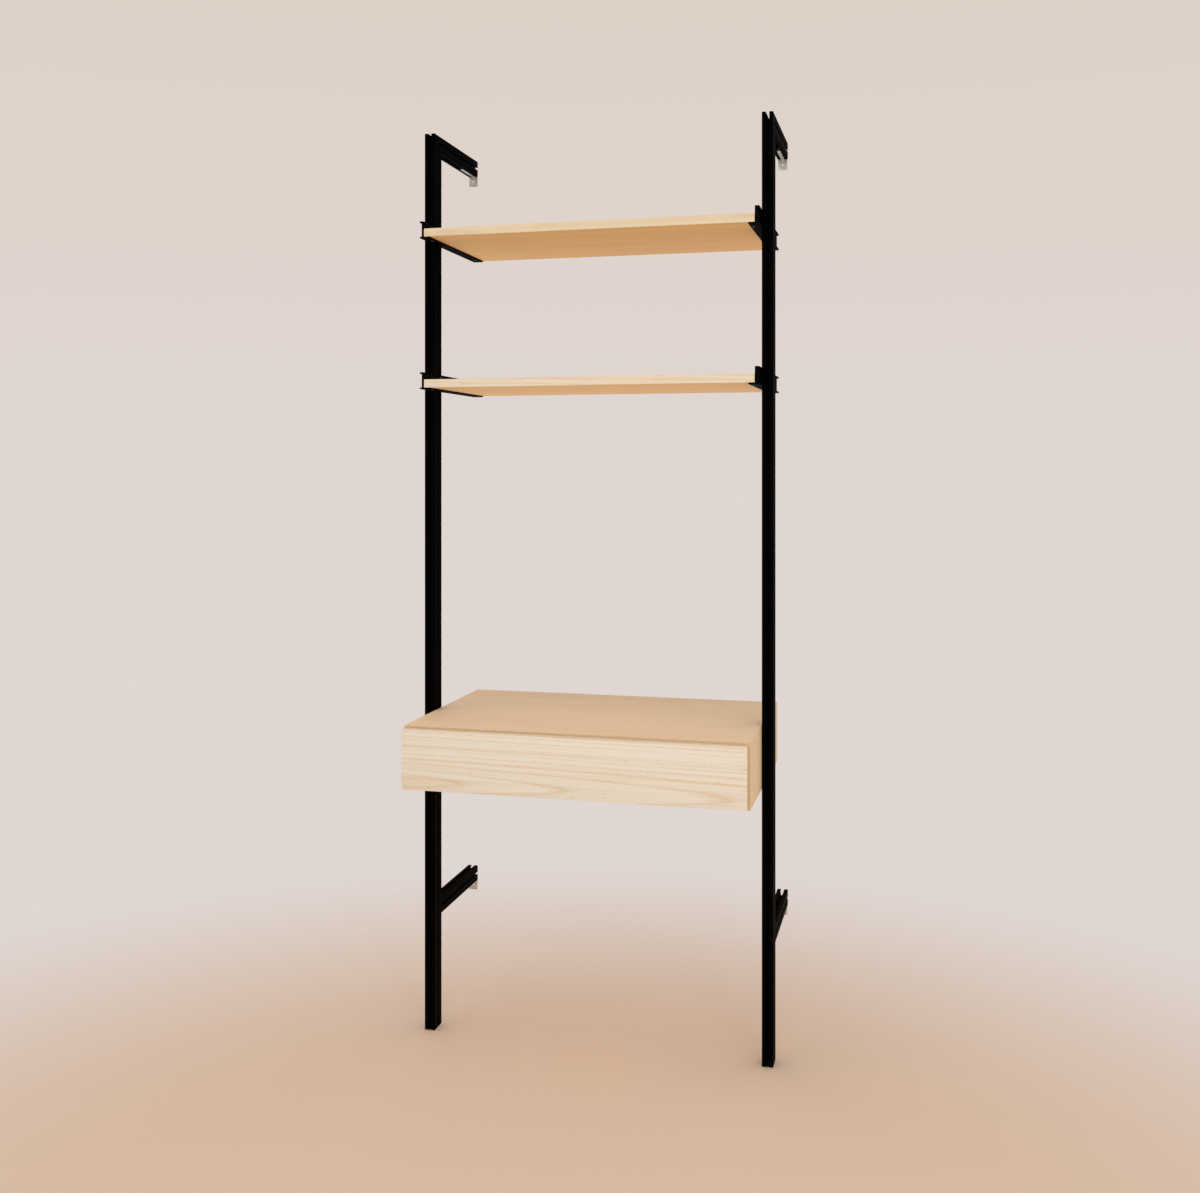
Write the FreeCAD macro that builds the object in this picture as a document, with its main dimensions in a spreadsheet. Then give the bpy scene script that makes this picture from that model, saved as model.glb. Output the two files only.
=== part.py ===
# Wall-fixed shelving unit with a floating desk drawer between two slotted posts.
# Millimetres. X runs along the wall, Y points at the wall and Z up. The origin lies on the floor,
# midway between the posts and midway between the drawer front's face and the wall.

import FreeCAD, Part
import math
import os
import re
import Sketcher

V = FreeCAD.Vector
SIDES = (("left", -1), ("right", 1))
FLATS = 12
PARALLEL = 0.999

doc = FreeCAD.newDocument("shelving_unit_with_desk")
sheet = doc.addObject("Spreadsheet::Sheet", "Sizes")
size_names = []
derived = {}
nodes = []


def write_sizes(table):
    """Write a table of driving dimensions into the sheet, each under its own name."""
    for name, value in table.items():
        size_names.append(name)
        cell = "B%d" % len(size_names)
        sheet.set("A%d" % len(size_names), name)
        sheet.set(cell, str(value))
        sheet.setAlias(cell, name)
    doc.recompute()


def spell(text):
    """Spell a formula of named sizes so that the sheet's cells answer it."""
    return re.sub(r"[a-z]\w*", lambda word: derived.get(word.group(), "Sizes." + word.group()), text)


def derive(**formulas):
    """Name places that follow from the driving dimensions."""
    for name, text in formulas.items():
        derived[name] = "(%s)" % spell(text)


def bind(thing, prop, text):
    """Tie one property to a formula of named sizes."""
    thing.setExpression(prop, spell(text))


def put(thing, x, y, z):
    """Place a piece by formulas of named sizes."""
    for axis, text in (("x", x), ("y", y), ("z", z)):
        bind(thing, "Placement.Base." + axis, text)


def new_body(label, is_node=True):
    """Start one piece; a node is written out under its label."""
    body = doc.addObject("PartDesign::Body", label)
    body.Label = label
    if is_node:
        nodes.append(body)
    return body


def flats(across, up, radius):
    """Outline of a small round drawn with flats, so that many fasteners stay light."""
    corners = []
    for i in range(FLATS):
        turn = math.tau * i / FLATS
        corners.append(("%s + (%s) * %.6f" % (across, radius, math.cos(turn)),
                        "%s + (%s) * %.6f" % (up, radius, math.sin(turn))))
    return corners


def sketch_on(body, role, points=(), drills=(), bores=(), lift=None):
    """Draw a closed outline, small faceted holes and true round bores on an origin plane."""
    sketch = body.newObject("Sketcher::SketchObject", body.Label + "_sketch")
    plane = [item for item in body.Origin.OriginFeatures if item.Role == role][0]
    sketch.AttachmentSupport = [(plane, "")]
    sketch.MapMode = "FlatFace"
    if lift:
        bind(sketch, "AttachmentOffset.Base.z", lift)
    rules = []
    for loop in [list(points)] * bool(points) + [flats(*drill) for drill in drills]:
        count, first = len(loop), sketch.GeometryCount
        starts = [V(math.cos(math.tau * i / count), math.sin(math.tau * i / count)) for i in range(count)]
        for i, (across, up) in enumerate(loop):
            line = sketch.addGeometry(Part.LineSegment(starts[i], starts[(i + 1) % count]), False)
            follower = first + (i + 1) % count
            rules.append((Sketcher.Constraint("Coincident", line, 2, follower, 1), None))
            rules.append((Sketcher.Constraint("DistanceX", -1, 1, line, 1, starts[i].x), across))
            rules.append((Sketcher.Constraint("DistanceY", -1, 1, line, 1, starts[i].y), up))
    for across, up, radius in bores:
        ring = sketch.addGeometry(Part.Circle(V(1, 1), V(0, 0, 1), 1), False)
        rules.append((Sketcher.Constraint("DistanceX", -1, 1, ring, 3, 1), across))
        rules.append((Sketcher.Constraint("DistanceY", -1, 1, ring, 3, 1), up))
        rules.append((Sketcher.Constraint("Radius", ring, 1), radius))
    sketch.addConstraint([rule for rule, text in rules])
    for i, (rule, text) in enumerate(rules):
        if text is not None:
            bind(sketch, "Constraints[%d]" % i, text)
    return sketch


def pad(body, sketch, length, backwards=False):
    """Extrude a sketch; sketches on the XZ plane run towards the wall when sent backwards."""
    feature = body.newObject("PartDesign::Pad", body.Label + "_pad")
    feature.Profile = sketch
    feature.Reversed = backwards
    bind(feature, "Length", length)
    doc.recompute()
    return feature


def pocket(body, sketch, depth=None, backwards=False):
    """Cut a sketch to a depth, or right through both ways when no depth is given."""
    before = body.Shape.Volume
    feature = body.newObject("PartDesign::Pocket", body.Label + "_pocket")
    feature.Profile = sketch
    if depth is None:
        feature.SideType = "Symmetric"
        feature.Type = "ThroughAll"
    else:
        feature.Reversed = backwards
        bind(feature, "Length", depth)
    doc.recompute()
    if not body.Shape.Volume < before:
        raise ValueError("a pocket in %s cuts nothing" % body.Label)
    return feature


def dress(body, kind, feature, edges, size):
    """Round or chamfer chosen edges of the body's last feature."""
    finish = body.newObject("PartDesign::" + kind, body.Label + "_" + kind.lower())
    finish.Base = (feature, ["Edge%d" % (i + 1) for i in edges])
    bind(finish, "Radius" if kind == "Fillet" else "Size", size)
    doc.recompute()
    return finish


def straight_edges(shape, along):
    """Numbers of the straight edges that run along a direction."""
    found = []
    for i, edge in enumerate(shape.Edges):
        if edge.Curve.TypeId == "Part::GeomLine" and abs(edge.Curve.Direction.dot(along)) > PARALLEL:
            found.append(i)
    return found


def copies(label, master, places):
    """Group equal fasteners: each place is a direction for the master's Z axis and a position."""
    links = []
    for towards, x, y, z in places:
        link = doc.addObject("App::Link", label + "_one")
        link.LinkedObject = master
        link.Placement = FreeCAD.Placement(V(), FreeCAD.Rotation(V(0, 0, 1), towards))
        put(link, x, y, z)
        links.append(link)
    group = doc.addObject("Part::Compound", label)
    group.Label = label
    group.Links = links
    nodes.append(group)


def screw(label, head_radius, head_height, shank_radius, length):
    """A flat-headed screw: its seat is the plane Z = 0 and its shank runs up Z."""
    body = new_body(label, is_node=False)
    pad(body, sketch_on(body, "XY_Plane", flats("0", "0", head_radius)), head_height, backwards=True)
    pad(body, sketch_on(body, "XY_Plane", flats("0", "0", shank_radius)), length)
    return body


def flat_screw(label, head_radius, shank_radius, length):
    """A countersunk screw: its face is the plane Z = 0 and its shank runs up Z."""
    body = new_body(label, is_node=False)
    pad(body, sketch_on(body, "XY_Plane", flats("0", "0", shank_radius)), length)
    cone = body.newObject("PartDesign::AdditiveLoft", label + "_cone")
    cone.Ruled = True
    cone.Profile = sketch_on(body, "XY_Plane", flats("0", "0", head_radius))
    cone.Sections = [sketch_on(body, "XY_Plane", flats("0", "0", shank_radius),
                               lift="%s - %s" % (head_radius, shank_radius))]
    doc.recompute()
    return body


# Overall sizes, and the clearances that all fits share.
OVERALL = {
    "unit_height": 2133.6,
    "clear_span": 777.2,
    "post_width": 25.4,
    "post_depth": 45,
    "wall_reach": 309.6,
    "front_reach": 211.5,
    "fit": 0.2,
    "hole_play": 0.3,
    "overrun": 5,
}
write_sizes(OVERALL)
derive(post_front="(front_reach - wall_reach) / 2",
       post_middle="post_front + post_depth / 2",
       wall="post_front + wall_reach",
       post_inner="clear_span / 2",
       post_axis="clear_span / 2 + post_width / 2")

# Slotted extrusion: a wide slot in the narrow faces and a fine slot in the broad faces.
# Every slot has a mouth between two lips, a straight-walled cavity and a tapered floor, and the
# wide slot's floor drops on into a narrow well.
SLOTS = {
    "slot_mouth": 8.2,
    "slot_lip": 3,
    "slot_cavity": 14.4,
    "slot_wall": 2.4,
    "slot_floor": 8.4,
    "slot_depth": 8.4,
    "slot_well": 15,
    "side_mouth": 5.6,
    "side_lip": 2,
    "side_cavity": 10.8,
    "side_wall": 2.4,
    "side_floor": 5,
    "side_depth": 7,
    "corner_bevel": 0.7,
}
write_sizes(SLOTS)


def slot(name):
    """Half of one slot, from the face inwards, as pairs of distance along and depth."""
    half = [(name + "_mouth / 2", "0"), (name + "_mouth / 2", name + "_lip"),
            (name + "_cavity / 2", name + "_lip"),
            (name + "_cavity / 2", "%s_lip + %s_wall" % (name, name)),
            (name + "_floor / 2", name + "_depth")]
    if name == "slot":
        half.append(("slot_floor / 2", "slot_well"))
    return half


def slotted_outline(width, depth):
    """The outline of a slotted extrusion, with the wide slots in its front and rear faces."""
    points = []
    faces = (("slot", depth, lambda along, inward: (along, "-" + inward)),
             ("side", width, lambda along, inward: (inward, along)),
             ("slot", depth, lambda along, inward: ("-(%s)" % along, inward)),
             ("side", width, lambda along, inward: ("-" + inward, "-(%s)" % along)))
    corner_signs = (("-", "-"), ("", "-"), ("", ""), ("-", ""))
    for (name, size, turn), (across, up) in zip(faces, corner_signs):
        points.append(("%s%s / 2" % (across, width), "%s%s / 2" % (up, depth)))
        half = slot(name)
        path = [("-(%s)" % along, inward) for along, inward in half] + half[::-1]
        points += [turn(along, "(%s / 2 - (%s))" % (size, inward)) for along, inward in path]
    return points


def extrusion(label, role, depth, bores, length, backwards):
    """One cut length of the extrusion, its four outer corners bevelled."""
    body = new_body(label)
    profile = sketch_on(body, role, slotted_outline("post_width", depth), bores)
    solid = pad(body, profile, length, backwards)
    along = V(0, 0, 1) if role == "XY_Plane" else V(0, 1, 0)
    edges = straight_edges(solid.Shape, along)
    edges.sort(key=lambda i: -solid.Shape.Edges[i].CenterOfMass.cross(along).Length)
    dress(body, "Chamfer", solid, edges[:4], "corner_bevel")
    return body


# Posts, each mitred to its upper arm and closed below by a foot plate with one countersunk screw.
FEET = {
    "arm_height": 38.1,
    "foot_thickness": 2.5,
    "foot_inset": 0.5,
    "foot_screw_radius": 2.5,
    "foot_screw_head_radius": 4.6,
    "foot_screw_length": 18,
}
write_sizes(FEET)
derive(post_length="unit_height - foot_thickness",
       mitre_overrun="overrun * arm_height / post_depth")


def post(side, sign):
    """A post stands on its foot plate; its mitred top falls from the front face to the rear one."""
    body = extrusion(side + "_post", "XY_Plane", "post_depth", [("0", "0", "foot_screw_radius")],
                     "post_length", False)
    front, rear = "-post_depth / 2 - overrun", "post_depth / 2 + overrun"
    high, low = "post_length + mitre_overrun", "post_length - arm_height - mitre_overrun"
    pocket(body, sketch_on(body, "YZ_Plane", [(front, high), (rear, low), (rear, high)]))
    put(body, "%d * post_axis" % sign, "post_middle", "foot_thickness")


def foot_plate(side, sign):
    """A foot plate, a little smaller than the post, with one countersunk hole."""
    body = new_body(side + "_foot_plate")
    half_x = "(post_width / 2 - foot_inset)"
    half_y = "(post_depth / 2 - foot_inset)"
    points = [("-" + half_x, "-" + half_y), (half_x, "-" + half_y), (half_x, half_y), ("-" + half_x, half_y)]
    radius = "foot_screw_radius + fit"
    pad(body, sketch_on(body, "XY_Plane", points, [("0", "0", radius)]), "foot_thickness")
    sink = body.newObject("PartDesign::SubtractiveLoft", body.Label + "_sink")
    head = "(foot_screw_head_radius - foot_screw_radius)"
    sink.Ruled = True
    sink.Profile = sketch_on(body, "XY_Plane", flats("0", "0", radius + " + " + head))
    sink.Sections = [sketch_on(body, "XY_Plane", flats("0", "0", radius), lift=head)]
    doc.recompute()
    put(body, "%d * post_axis" % sign, "post_middle", "0")


def foot_plate_screws():
    """One screw per foot, its head flush with the plate's underside."""
    master = flat_screw("foot_screw", "foot_screw_head_radius", "foot_screw_radius", "foot_screw_length")
    places = [(V(0, 0, 1), "%d * post_axis" % sign, "post_middle", "0") for side, sign in SIDES]
    copies("foot_plate_screws", master, places)


# Arms back to the wall: the upper pair is mitred to the posts' tops, the lower pair butts on the posts.
ARMS = {
    "lower_arm_top": 305.3,
    "wall_plate_thickness": 3.2,
    "arm_end_gap": 1.1,
    "anchor_setback": 14,
    "anchor_rise": 4,
    "anchor_bolt_radius": 2.4,
    "anchor_head_play": 0.6,
}
write_sizes(ARMS)
derive(arm_length="wall_reach - wall_plate_thickness - arm_end_gap - post_depth",
       upper_arm_middle="unit_height - arm_height / 2",
       lower_arm_middle="lower_arm_top - arm_height / 2",
       post_rear="post_front + post_depth",
       anchor_sleeve_radius="slot_mouth / 2 - hole_play",
       anchor_head_width="slot_cavity - 2 * anchor_head_play",
       anchor_head_height="slot_mouth - anchor_head_play",
       anchor_head_thickness="slot_wall - 2 * fit")
LEVELS = (("upper", "upper_arm_middle"), ("lower", "lower_arm_middle"))


def upper_arm(side, sign):
    """An arm whose mitred front end closes on the post's top, so that their slots turn the corner."""
    bore = [("0", "0", "anchor_bolt_radius + hole_play")]
    body = extrusion("upper_%s_arm" % side, "XZ_Plane", "arm_height", bore, "post_depth + arm_length", True)
    front, rear = "-overrun", "post_depth + overrun"
    high, low = "arm_height / 2 + mitre_overrun", "-arm_height / 2 - mitre_overrun"
    pocket(body, sketch_on(body, "YZ_Plane", [(front, low), (rear, low), (front, high)]))
    put(body, "%d * post_axis" % sign, "post_front", "upper_arm_middle")


def lower_arm(side, sign):
    """An arm that butts on the post's rear face, drilled up from its lower slot for the anchor sleeve."""
    bore = [("0", "0", "anchor_bolt_radius + hole_play")]
    body = extrusion("lower_%s_arm" % side, "XZ_Plane", "arm_height", bore, "arm_length", True)
    ring = [("0", "anchor_setback", "anchor_sleeve_radius + fit")]
    pocket(body, sketch_on(body, "XY_Plane", drills=ring, lift="anchor_rise"), "arm_height / 2")
    put(body, "%d * post_axis" % sign, "post_rear", "lower_arm_middle")


def anchor_sleeve():
    """The turned sleeve, cross-bored for its bolt, with its end at the lower slot's lips."""
    body = new_body("anchor_sleeve", is_node=False)
    drop = "(arm_height / 2 - slot_lip)"
    disc = sketch_on(body, "XY_Plane", drills=[("0", "0", "anchor_sleeve_radius")], lift="-" + drop)
    pad(body, disc, drop + " + anchor_rise")
    pocket(body, sketch_on(body, "XZ_Plane", drills=[("0", "0", "anchor_bolt_radius + fit")]))
    return body


def anchor_bolt():
    """A bolt whose hammer head lies crosswise behind the lips of the post's rear slot."""
    body = new_body("anchor_bolt", is_node=False)
    half_x, half_y = "anchor_head_width / 2", "anchor_head_height / 2"
    points = [("-" + half_x, "-" + half_y), (half_x, "-" + half_y), (half_x, half_y), ("-" + half_x, half_y)]
    pad(body, sketch_on(body, "XY_Plane", points), "anchor_head_thickness", backwards=True)
    ring = [("0", "0", "anchor_bolt_radius")]
    pad(body, sketch_on(body, "XY_Plane", drills=ring), "slot_lip + anchor_setback + anchor_sleeve_radius")
    return body


def arm_anchors():
    """One sleeve and one bolt per lower arm."""
    sleeves, bolts = [], []
    for side, sign in SIDES:
        x = "%d * post_axis" % sign
        sleeves.append((V(0, 0, 1), x, "post_rear + anchor_setback", "lower_arm_middle"))
        bolts.append((V(0, 1, 0), x, "post_rear - slot_lip", "lower_arm_middle"))
    copies("arm_anchor_sleeves", anchor_sleeve(), sleeves)
    copies("arm_anchor_bolts", anchor_bolt(), bolts)


# Corner connectors: steel angles in the inner slots of each mitred corner, one leg in the arm and one
# in the post. A grub screw through each leg bears on the slot's well and draws the mitre shut.
CORNERS = {
    "connector_leg": 34,
    "connector_screw_setback": 8,
    "grub_radius": 2.5,
    "grub_recess": 0.4,
}
write_sizes(CORNERS)
derive(connector_start="slot_lip + fit",
       connector_clear="slot_lip * post_depth / arm_height + fit",
       connector_end="slot_lip + slot_wall - fit",
       connector_half="slot_cavity / 2 - fit",
       connector_z="unit_height - arm_height")


def corner_connector(side, sign):
    """One angle; its own origin is the inner corner where the arm's underside meets the post."""
    body = new_body("upper_%s_corner_connector" % side)
    angle = [("-connector_end", "connector_end"), ("-connector_end", "-connector_leg"),
             ("-connector_clear", "-connector_leg"), ("-connector_clear", "connector_start"),
             ("connector_leg", "connector_start"), ("connector_leg", "connector_end")]
    profile = sketch_on(body, "YZ_Plane", angle, lift="-connector_half")
    pad(body, profile, "2 * connector_half")
    pocket(body, sketch_on(body, "XY_Plane", drills=[("0", "connector_screw_setback", "grub_radius")]))
    across = [("0", "-connector_screw_setback", "grub_radius")]
    pocket(body, sketch_on(body, "XZ_Plane", drills=across))
    put(body, "%d * post_axis" % sign, "post_rear", "connector_z")


def grub_screw(label):
    """A grub screw whose outer end lies just inside the slot's mouth; it reaches up Z to the well's floor."""
    body = new_body(label, is_node=False)
    disc = sketch_on(body, "XY_Plane", drills=[("0", "0", "grub_radius")], lift="grub_recess")
    pad(body, disc, "slot_well - grub_recess")
    return body


def corner_grub_screws():
    """Two per corner: up into the arm, and forwards into the post."""
    places = []
    for side, sign in SIDES:
        x = "%d * post_axis" % sign
        places.append((V(0, 0, 1), x, "post_rear + connector_screw_setback", "connector_z"))
        places.append((V(0, -1, 0), x, "post_rear", "connector_z - connector_screw_setback"))
    copies("corner_grub_screws", grub_screw("corner_grub_screw"), places)


# Wall brackets: a holed plate on the wall, and a leg that fills the arm's lower slot.
# A grub screw in the leg bears on the slot's floor and locks the arm.
WALL_BRACKETS = {
    "wall_plate_width": 22.2,
    "wall_plate_drop": 25.4,
    "wall_hole_radius": 2.4,
    "wall_plate_round": 2,
    "wall_leg_length": 88,
    "grub_setback": 62,
}
write_sizes(WALL_BRACKETS)
derive(wall_plate_front="wall - wall_plate_thickness",
       wall_leg_top="slot_lip + slot_wall",
       wall_hole_drop="wall_plate_drop / 2")


def wall_bracket(level, middle, side, sign):
    """One angle, its plate hanging below the arm."""
    body = new_body("%s_%s_wall_bracket" % (level, side))
    half = "wall_plate_width / 2"
    points = [("-" + half, "-wall_plate_drop"), (half, "-wall_plate_drop"), (half, "wall_leg_top"),
              ("-" + half, "wall_leg_top")]
    hole = [("0", "-wall_hole_drop", "wall_hole_radius")]
    profile = sketch_on(body, "XZ_Plane", points, bores=hole)
    plate = pad(body, profile, "wall_plate_thickness", backwards=True)
    edges = straight_edges(plate.Shape, V(0, 1, 0))
    edges.sort(key=lambda i: plate.Shape.Edges[i].CenterOfMass.z)
    dress(body, "Fillet", plate, edges[:2], "wall_plate_round")
    stem, flange = "(slot_mouth / 2 - fit)", "(slot_cavity / 2 - fit)"
    tee = [("-" + stem, "0"), (stem, "0"), (stem, "slot_lip + fit"), (flange, "slot_lip + fit"),
           (flange, "wall_leg_top"), ("-" + flange, "wall_leg_top"), ("-" + flange, "slot_lip + fit"),
           ("-" + stem, "slot_lip + fit")]
    pad(body, sketch_on(body, "XZ_Plane", tee), "wall_leg_length")
    pocket(body, sketch_on(body, "XY_Plane", drills=[("0", "-grub_setback", "grub_radius")]))
    put(body, "%d * post_axis" % sign, "wall_plate_front", "%s - arm_height / 2" % middle)


def wall_bracket_grub_screws():
    """One grub screw per bracket, from just inside the leg up to the well's floor."""
    places = []
    for level, middle in LEVELS:
        for side, sign in SIDES:
            y = "wall_plate_front - grub_setback"
            places.append((V(0, 0, 1), "%d * post_axis" % sign, y, "%s - arm_height / 2" % middle))
    copies("wall_bracket_grub_screws", grub_screw("bracket_grub_screw"), places)


# Shelf brackets: extruded rails with a foot under the shelf and two short outer flanges.
# The outer flanges are notched to the post's depth, which keys the rail to the post.
SHELVING = {
    "upper_shelf_drop": 260.1,
    "shelf_spacing": 349.1,
    "shelf_thickness": 19.05,
    "shelf_lead": 82.5,
    "shelf_wall_gap": 11.1,
    "shelf_play": 0.3,
    "edge_ease": 0.8,
    "bracket_setback": 6.35,
    "bracket_height": 39,
    "bracket_web": 4.8,
    "bracket_foot_reach": 19.05,
    "bracket_foot_thickness": 3.2,
    "bracket_flange_reach": 4.8,
    "bracket_flange_thickness": 3.6,
    "shelf_screw_inset": 38,
    "shelf_screw_radius": 1.9,
    "shelf_screw_head_radius": 3.6,
    "shelf_screw_head_height": 1.8,
    "shelf_screw_grip": 13,
}
write_sizes(SHELVING)
POST_BOLTS = {
    "post_bolt_radius": 2.5,
    "post_bolt_head_radius": 4.75,
    "post_bolt_head_height": 2.75,
    "post_nut_length": 14,
    "post_nut_floor_gap": 0.8,
    "post_nut_tip": 0.3,
}
write_sizes(POST_BOLTS)
derive(shelf_front="post_front - shelf_lead",
       shelf_depth="shelf_lead + wall_reach - shelf_wall_gap",
       upper_shelf_seat="unit_height - upper_shelf_drop",
       lower_shelf_seat="unit_height - upper_shelf_drop - shelf_spacing",
       bracket_length="shelf_lead + wall_reach - shelf_wall_gap - bracket_setback",
       shelf_half="clear_span / 2 - bracket_web - shelf_play",
       foot_screw_line="(bracket_web + bracket_foot_reach) / 2",
       bracket_bolt_height="(bracket_foot_thickness + shelf_thickness + bracket_height) / 2",
       post_nut_thickness="side_depth - side_lip - post_nut_floor_gap",
       bolt_bite="side_depth - post_nut_floor_gap + post_nut_tip")
SHELVES = (("upper", "upper_shelf_seat"), ("lower", "lower_shelf_seat"))


def shelf_screw_rows():
    """Distances behind the shelf's front edge of the screws in each foot."""
    return ("shelf_screw_inset", "bracket_length - shelf_screw_inset")


def shelf_bracket(level, seat, side, sign):
    """One rail: its web lies flat on the post's inner face."""
    body = new_body("%s_%s_shelf_bracket" % (level, side))
    web, foot = "%d * bracket_web" % -sign, "%d * bracket_foot_reach" % -sign
    lip = "%d * bracket_flange_reach" % sign
    points = [(lip, "0"), (foot, "0"), (foot, "bracket_foot_thickness"), (web, "bracket_foot_thickness"),
              (web, "bracket_height"), (lip, "bracket_height"),
              (lip, "bracket_height - bracket_flange_thickness"),
              ("0", "bracket_height - bracket_flange_thickness"), ("0", "bracket_flange_thickness"),
              (lip, "bracket_flange_thickness")]
    pad(body, sketch_on(body, "XZ_Plane", points), "bracket_length", backwards=True)
    beyond = "%d * (bracket_flange_reach + overrun)" % sign
    near, far = "shelf_lead - fit", "shelf_lead + post_depth + fit"
    notch = [("0", near), (beyond, near), (beyond, far), ("0", far)]
    pocket(body, sketch_on(body, "XY_Plane", notch))
    bolt = [("shelf_lead + post_depth / 2", "bracket_bolt_height", "post_bolt_radius + hole_play")]
    pocket(body, sketch_on(body, "YZ_Plane", drills=bolt))
    line = "%d * foot_screw_line" % -sign
    holes = [(line, row, "shelf_screw_radius + fit") for row in shelf_screw_rows()]
    pocket(body, sketch_on(body, "XY_Plane", drills=holes))
    put(body, "%d * post_inner" % sign, "shelf_front", "%s - bracket_foot_thickness" % seat)


def shelf(level, seat):
    """A board with eased edges and pilot holes for the screws in the feet."""
    body = new_body(level + "_shelf")
    points = [("-shelf_half", "0"), ("shelf_half", "0"), ("shelf_half", "shelf_depth"),
              ("-shelf_half", "shelf_depth")]
    board = pad(body, sketch_on(body, "XY_Plane", points), "shelf_thickness")
    dress(body, "Chamfer", board, range(len(board.Shape.Edges)), "edge_ease")
    pilots = []
    for side, sign in SIDES:
        for row in shelf_screw_rows():
            pilots.append(("%d * (post_inner - foot_screw_line)" % sign, row, "shelf_screw_radius"))
    pocket(body, sketch_on(body, "XY_Plane", drills=pilots), "shelf_screw_grip", backwards=True)
    put(body, "0", "shelf_front", seat)


def shelf_screws():
    """Two screws per bracket, up through its foot into the board."""
    master = screw("shelf_screw", "shelf_screw_head_radius", "shelf_screw_head_height",
                   "shelf_screw_radius", "bracket_foot_thickness + shelf_screw_grip")
    places = []
    for level, seat in SHELVES:
        for side, sign in SIDES:
            for row in shelf_screw_rows():
                x = "%d * (post_inner - foot_screw_line)" % sign
                z = "%s - bracket_foot_thickness" % seat
                places.append((V(0, 0, 1), x, "shelf_front + " + row, z))
    copies("shelf_screws", master, places)


def slot_nut():
    """A slot nut that fills the fine slot's cavity: its seat is Z = 0 and it reaches up Z."""
    body = new_body("slot_nut", is_node=False)
    broad = "(side_cavity / 2 - fit)"
    narrow = "(side_floor / 2)"
    points = [("-" + broad, "0"), (broad, "0"), (broad, "side_wall"), (narrow, "post_nut_thickness"),
              ("-" + narrow, "post_nut_thickness"), ("-" + broad, "side_wall")]
    pad(body, sketch_on(body, "YZ_Plane", points, lift="-post_nut_length / 2"), "post_nut_length")
    pocket(body, sketch_on(body, "XY_Plane", drills=[("0", "0", "post_bolt_radius")]))
    return body


def slot_nuts(label, heights):
    """One nut per height in each post's inner slot."""
    places = []
    for side, sign in SIDES:
        for height in heights:
            places.append((V(sign, 0, 0), "%d * (post_inner + side_lip)" % sign, "post_middle", height))
    copies(label, slot_nut(), places)


def shelf_bracket_bolts():
    """One bolt per bracket, through the web above the shelf into the post's slot nut."""
    master = screw("bracket_bolt", "post_bolt_head_radius", "post_bolt_head_height", "post_bolt_radius",
                   "bracket_web + bolt_bite")
    heights = ["%s - bracket_foot_thickness + bracket_bolt_height" % seat for level, seat in SHELVES]
    places = []
    for side, sign in SIDES:
        for height in heights:
            x = "%d * (post_inner - bracket_web)" % sign
            places.append((V(sign, 0, 0), x, "post_middle", height))
    copies("shelf_bracket_bolts", master, places)
    slot_nuts("shelf_bracket_nuts", heights)


# Desk case: four mitred boards and a back, bolted between the posts.
DESK_CASE = {
    "desk_height": 763,
    "case_height": 142.5,
    "case_board": 19.05,
    "case_gap": 0.4,
    "case_wall_gap": 4.6,
    "back_thickness": 12.7,
    "front_thickness": 19,
    "front_side_reveal": 3,
    "front_top_reveal": 4.575,
    "push_gap": 3.5,
    "desk_bolt_inset": 15,
}
write_sizes(DESK_CASE)
derive(case_front="post_front - front_reach + front_thickness + push_gap",
       case_depth="front_reach - front_thickness - push_gap + wall_reach - case_wall_gap",
       case_half="clear_span / 2 - case_gap",
       case_inner="clear_span / 2 - case_gap - case_board",
       case_bottom="desk_height - case_height",
       case_floor="desk_height - case_height + case_board",
       case_ceiling="desk_height - case_board",
       front_height="case_height - 2 * front_top_reveal")


def case_panel(label, level, towards):
    """The top or bottom board: its ends are mitred, the narrow face inside."""
    body = new_body(label)
    inside = "%d * case_board" % towards
    points = [("-case_half", "0"), ("case_half", "0"), ("case_inner", inside), ("-case_inner", inside)]
    pad(body, sketch_on(body, "XZ_Plane", points), "case_depth", backwards=True)
    put(body, "0", "case_front", level)


def case_side(side, sign):
    """A side board, drilled for the post bolts and for the slide's screws."""
    body = new_body("desk_%s_side" % side)
    inner = "%d * case_board" % -sign
    points = [("0", "0"), ("0", "case_height"), (inner, "case_height - case_board"), (inner, "case_board")]
    pad(body, sketch_on(body, "XZ_Plane", points), "case_depth", backwards=True)
    holes = [("post_middle - case_front", "%s - case_bottom" % height, "post_bolt_radius + hole_play")
             for height in desk_bolt_heights()]
    pocket(body, sketch_on(body, "YZ_Plane", drills=holes))
    pilots = [("slide_setback + " + row, "slide_middle - case_bottom", "slide_screw_radius")
              for row in slide_screw_rows()]
    pocket(body, sketch_on(body, "YZ_Plane", drills=pilots, lift=inner), "case_screw_grip", sign > 0)
    put(body, "%d * case_half" % sign, "case_front", "case_bottom")


def case_back():
    """The back board stands between the other four, flush with their rear edges."""
    body = new_body("desk_back")
    tall = "case_height - 2 * case_board"
    points = [("-case_inner", "0"), ("case_inner", "0"), ("case_inner", tall), ("-case_inner", tall)]
    pad(body, sketch_on(body, "XZ_Plane", points), "back_thickness", backwards=True)
    put(body, "0", "case_front + case_depth - back_thickness", "case_floor")


def desk_bolt_heights():
    """Heights of the bolts that hold each side board to its post."""
    return ("case_floor + desk_bolt_inset", "case_ceiling - desk_bolt_inset")


def desk_mounting_bolts():
    """Two bolts per side, from inside the case into the post's slot nuts."""
    master = screw("desk_bolt", "post_bolt_head_radius", "post_bolt_head_height", "post_bolt_radius",
                   "case_board + case_gap + bolt_bite")
    places = []
    for side, sign in SIDES:
        for height in desk_bolt_heights():
            places.append((V(sign, 0, 0), "%d * case_inner" % sign, "post_middle", height))
    copies("desk_mounting_bolts", master, places)
    slot_nuts("desk_mounting_nuts", desk_bolt_heights())


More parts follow.
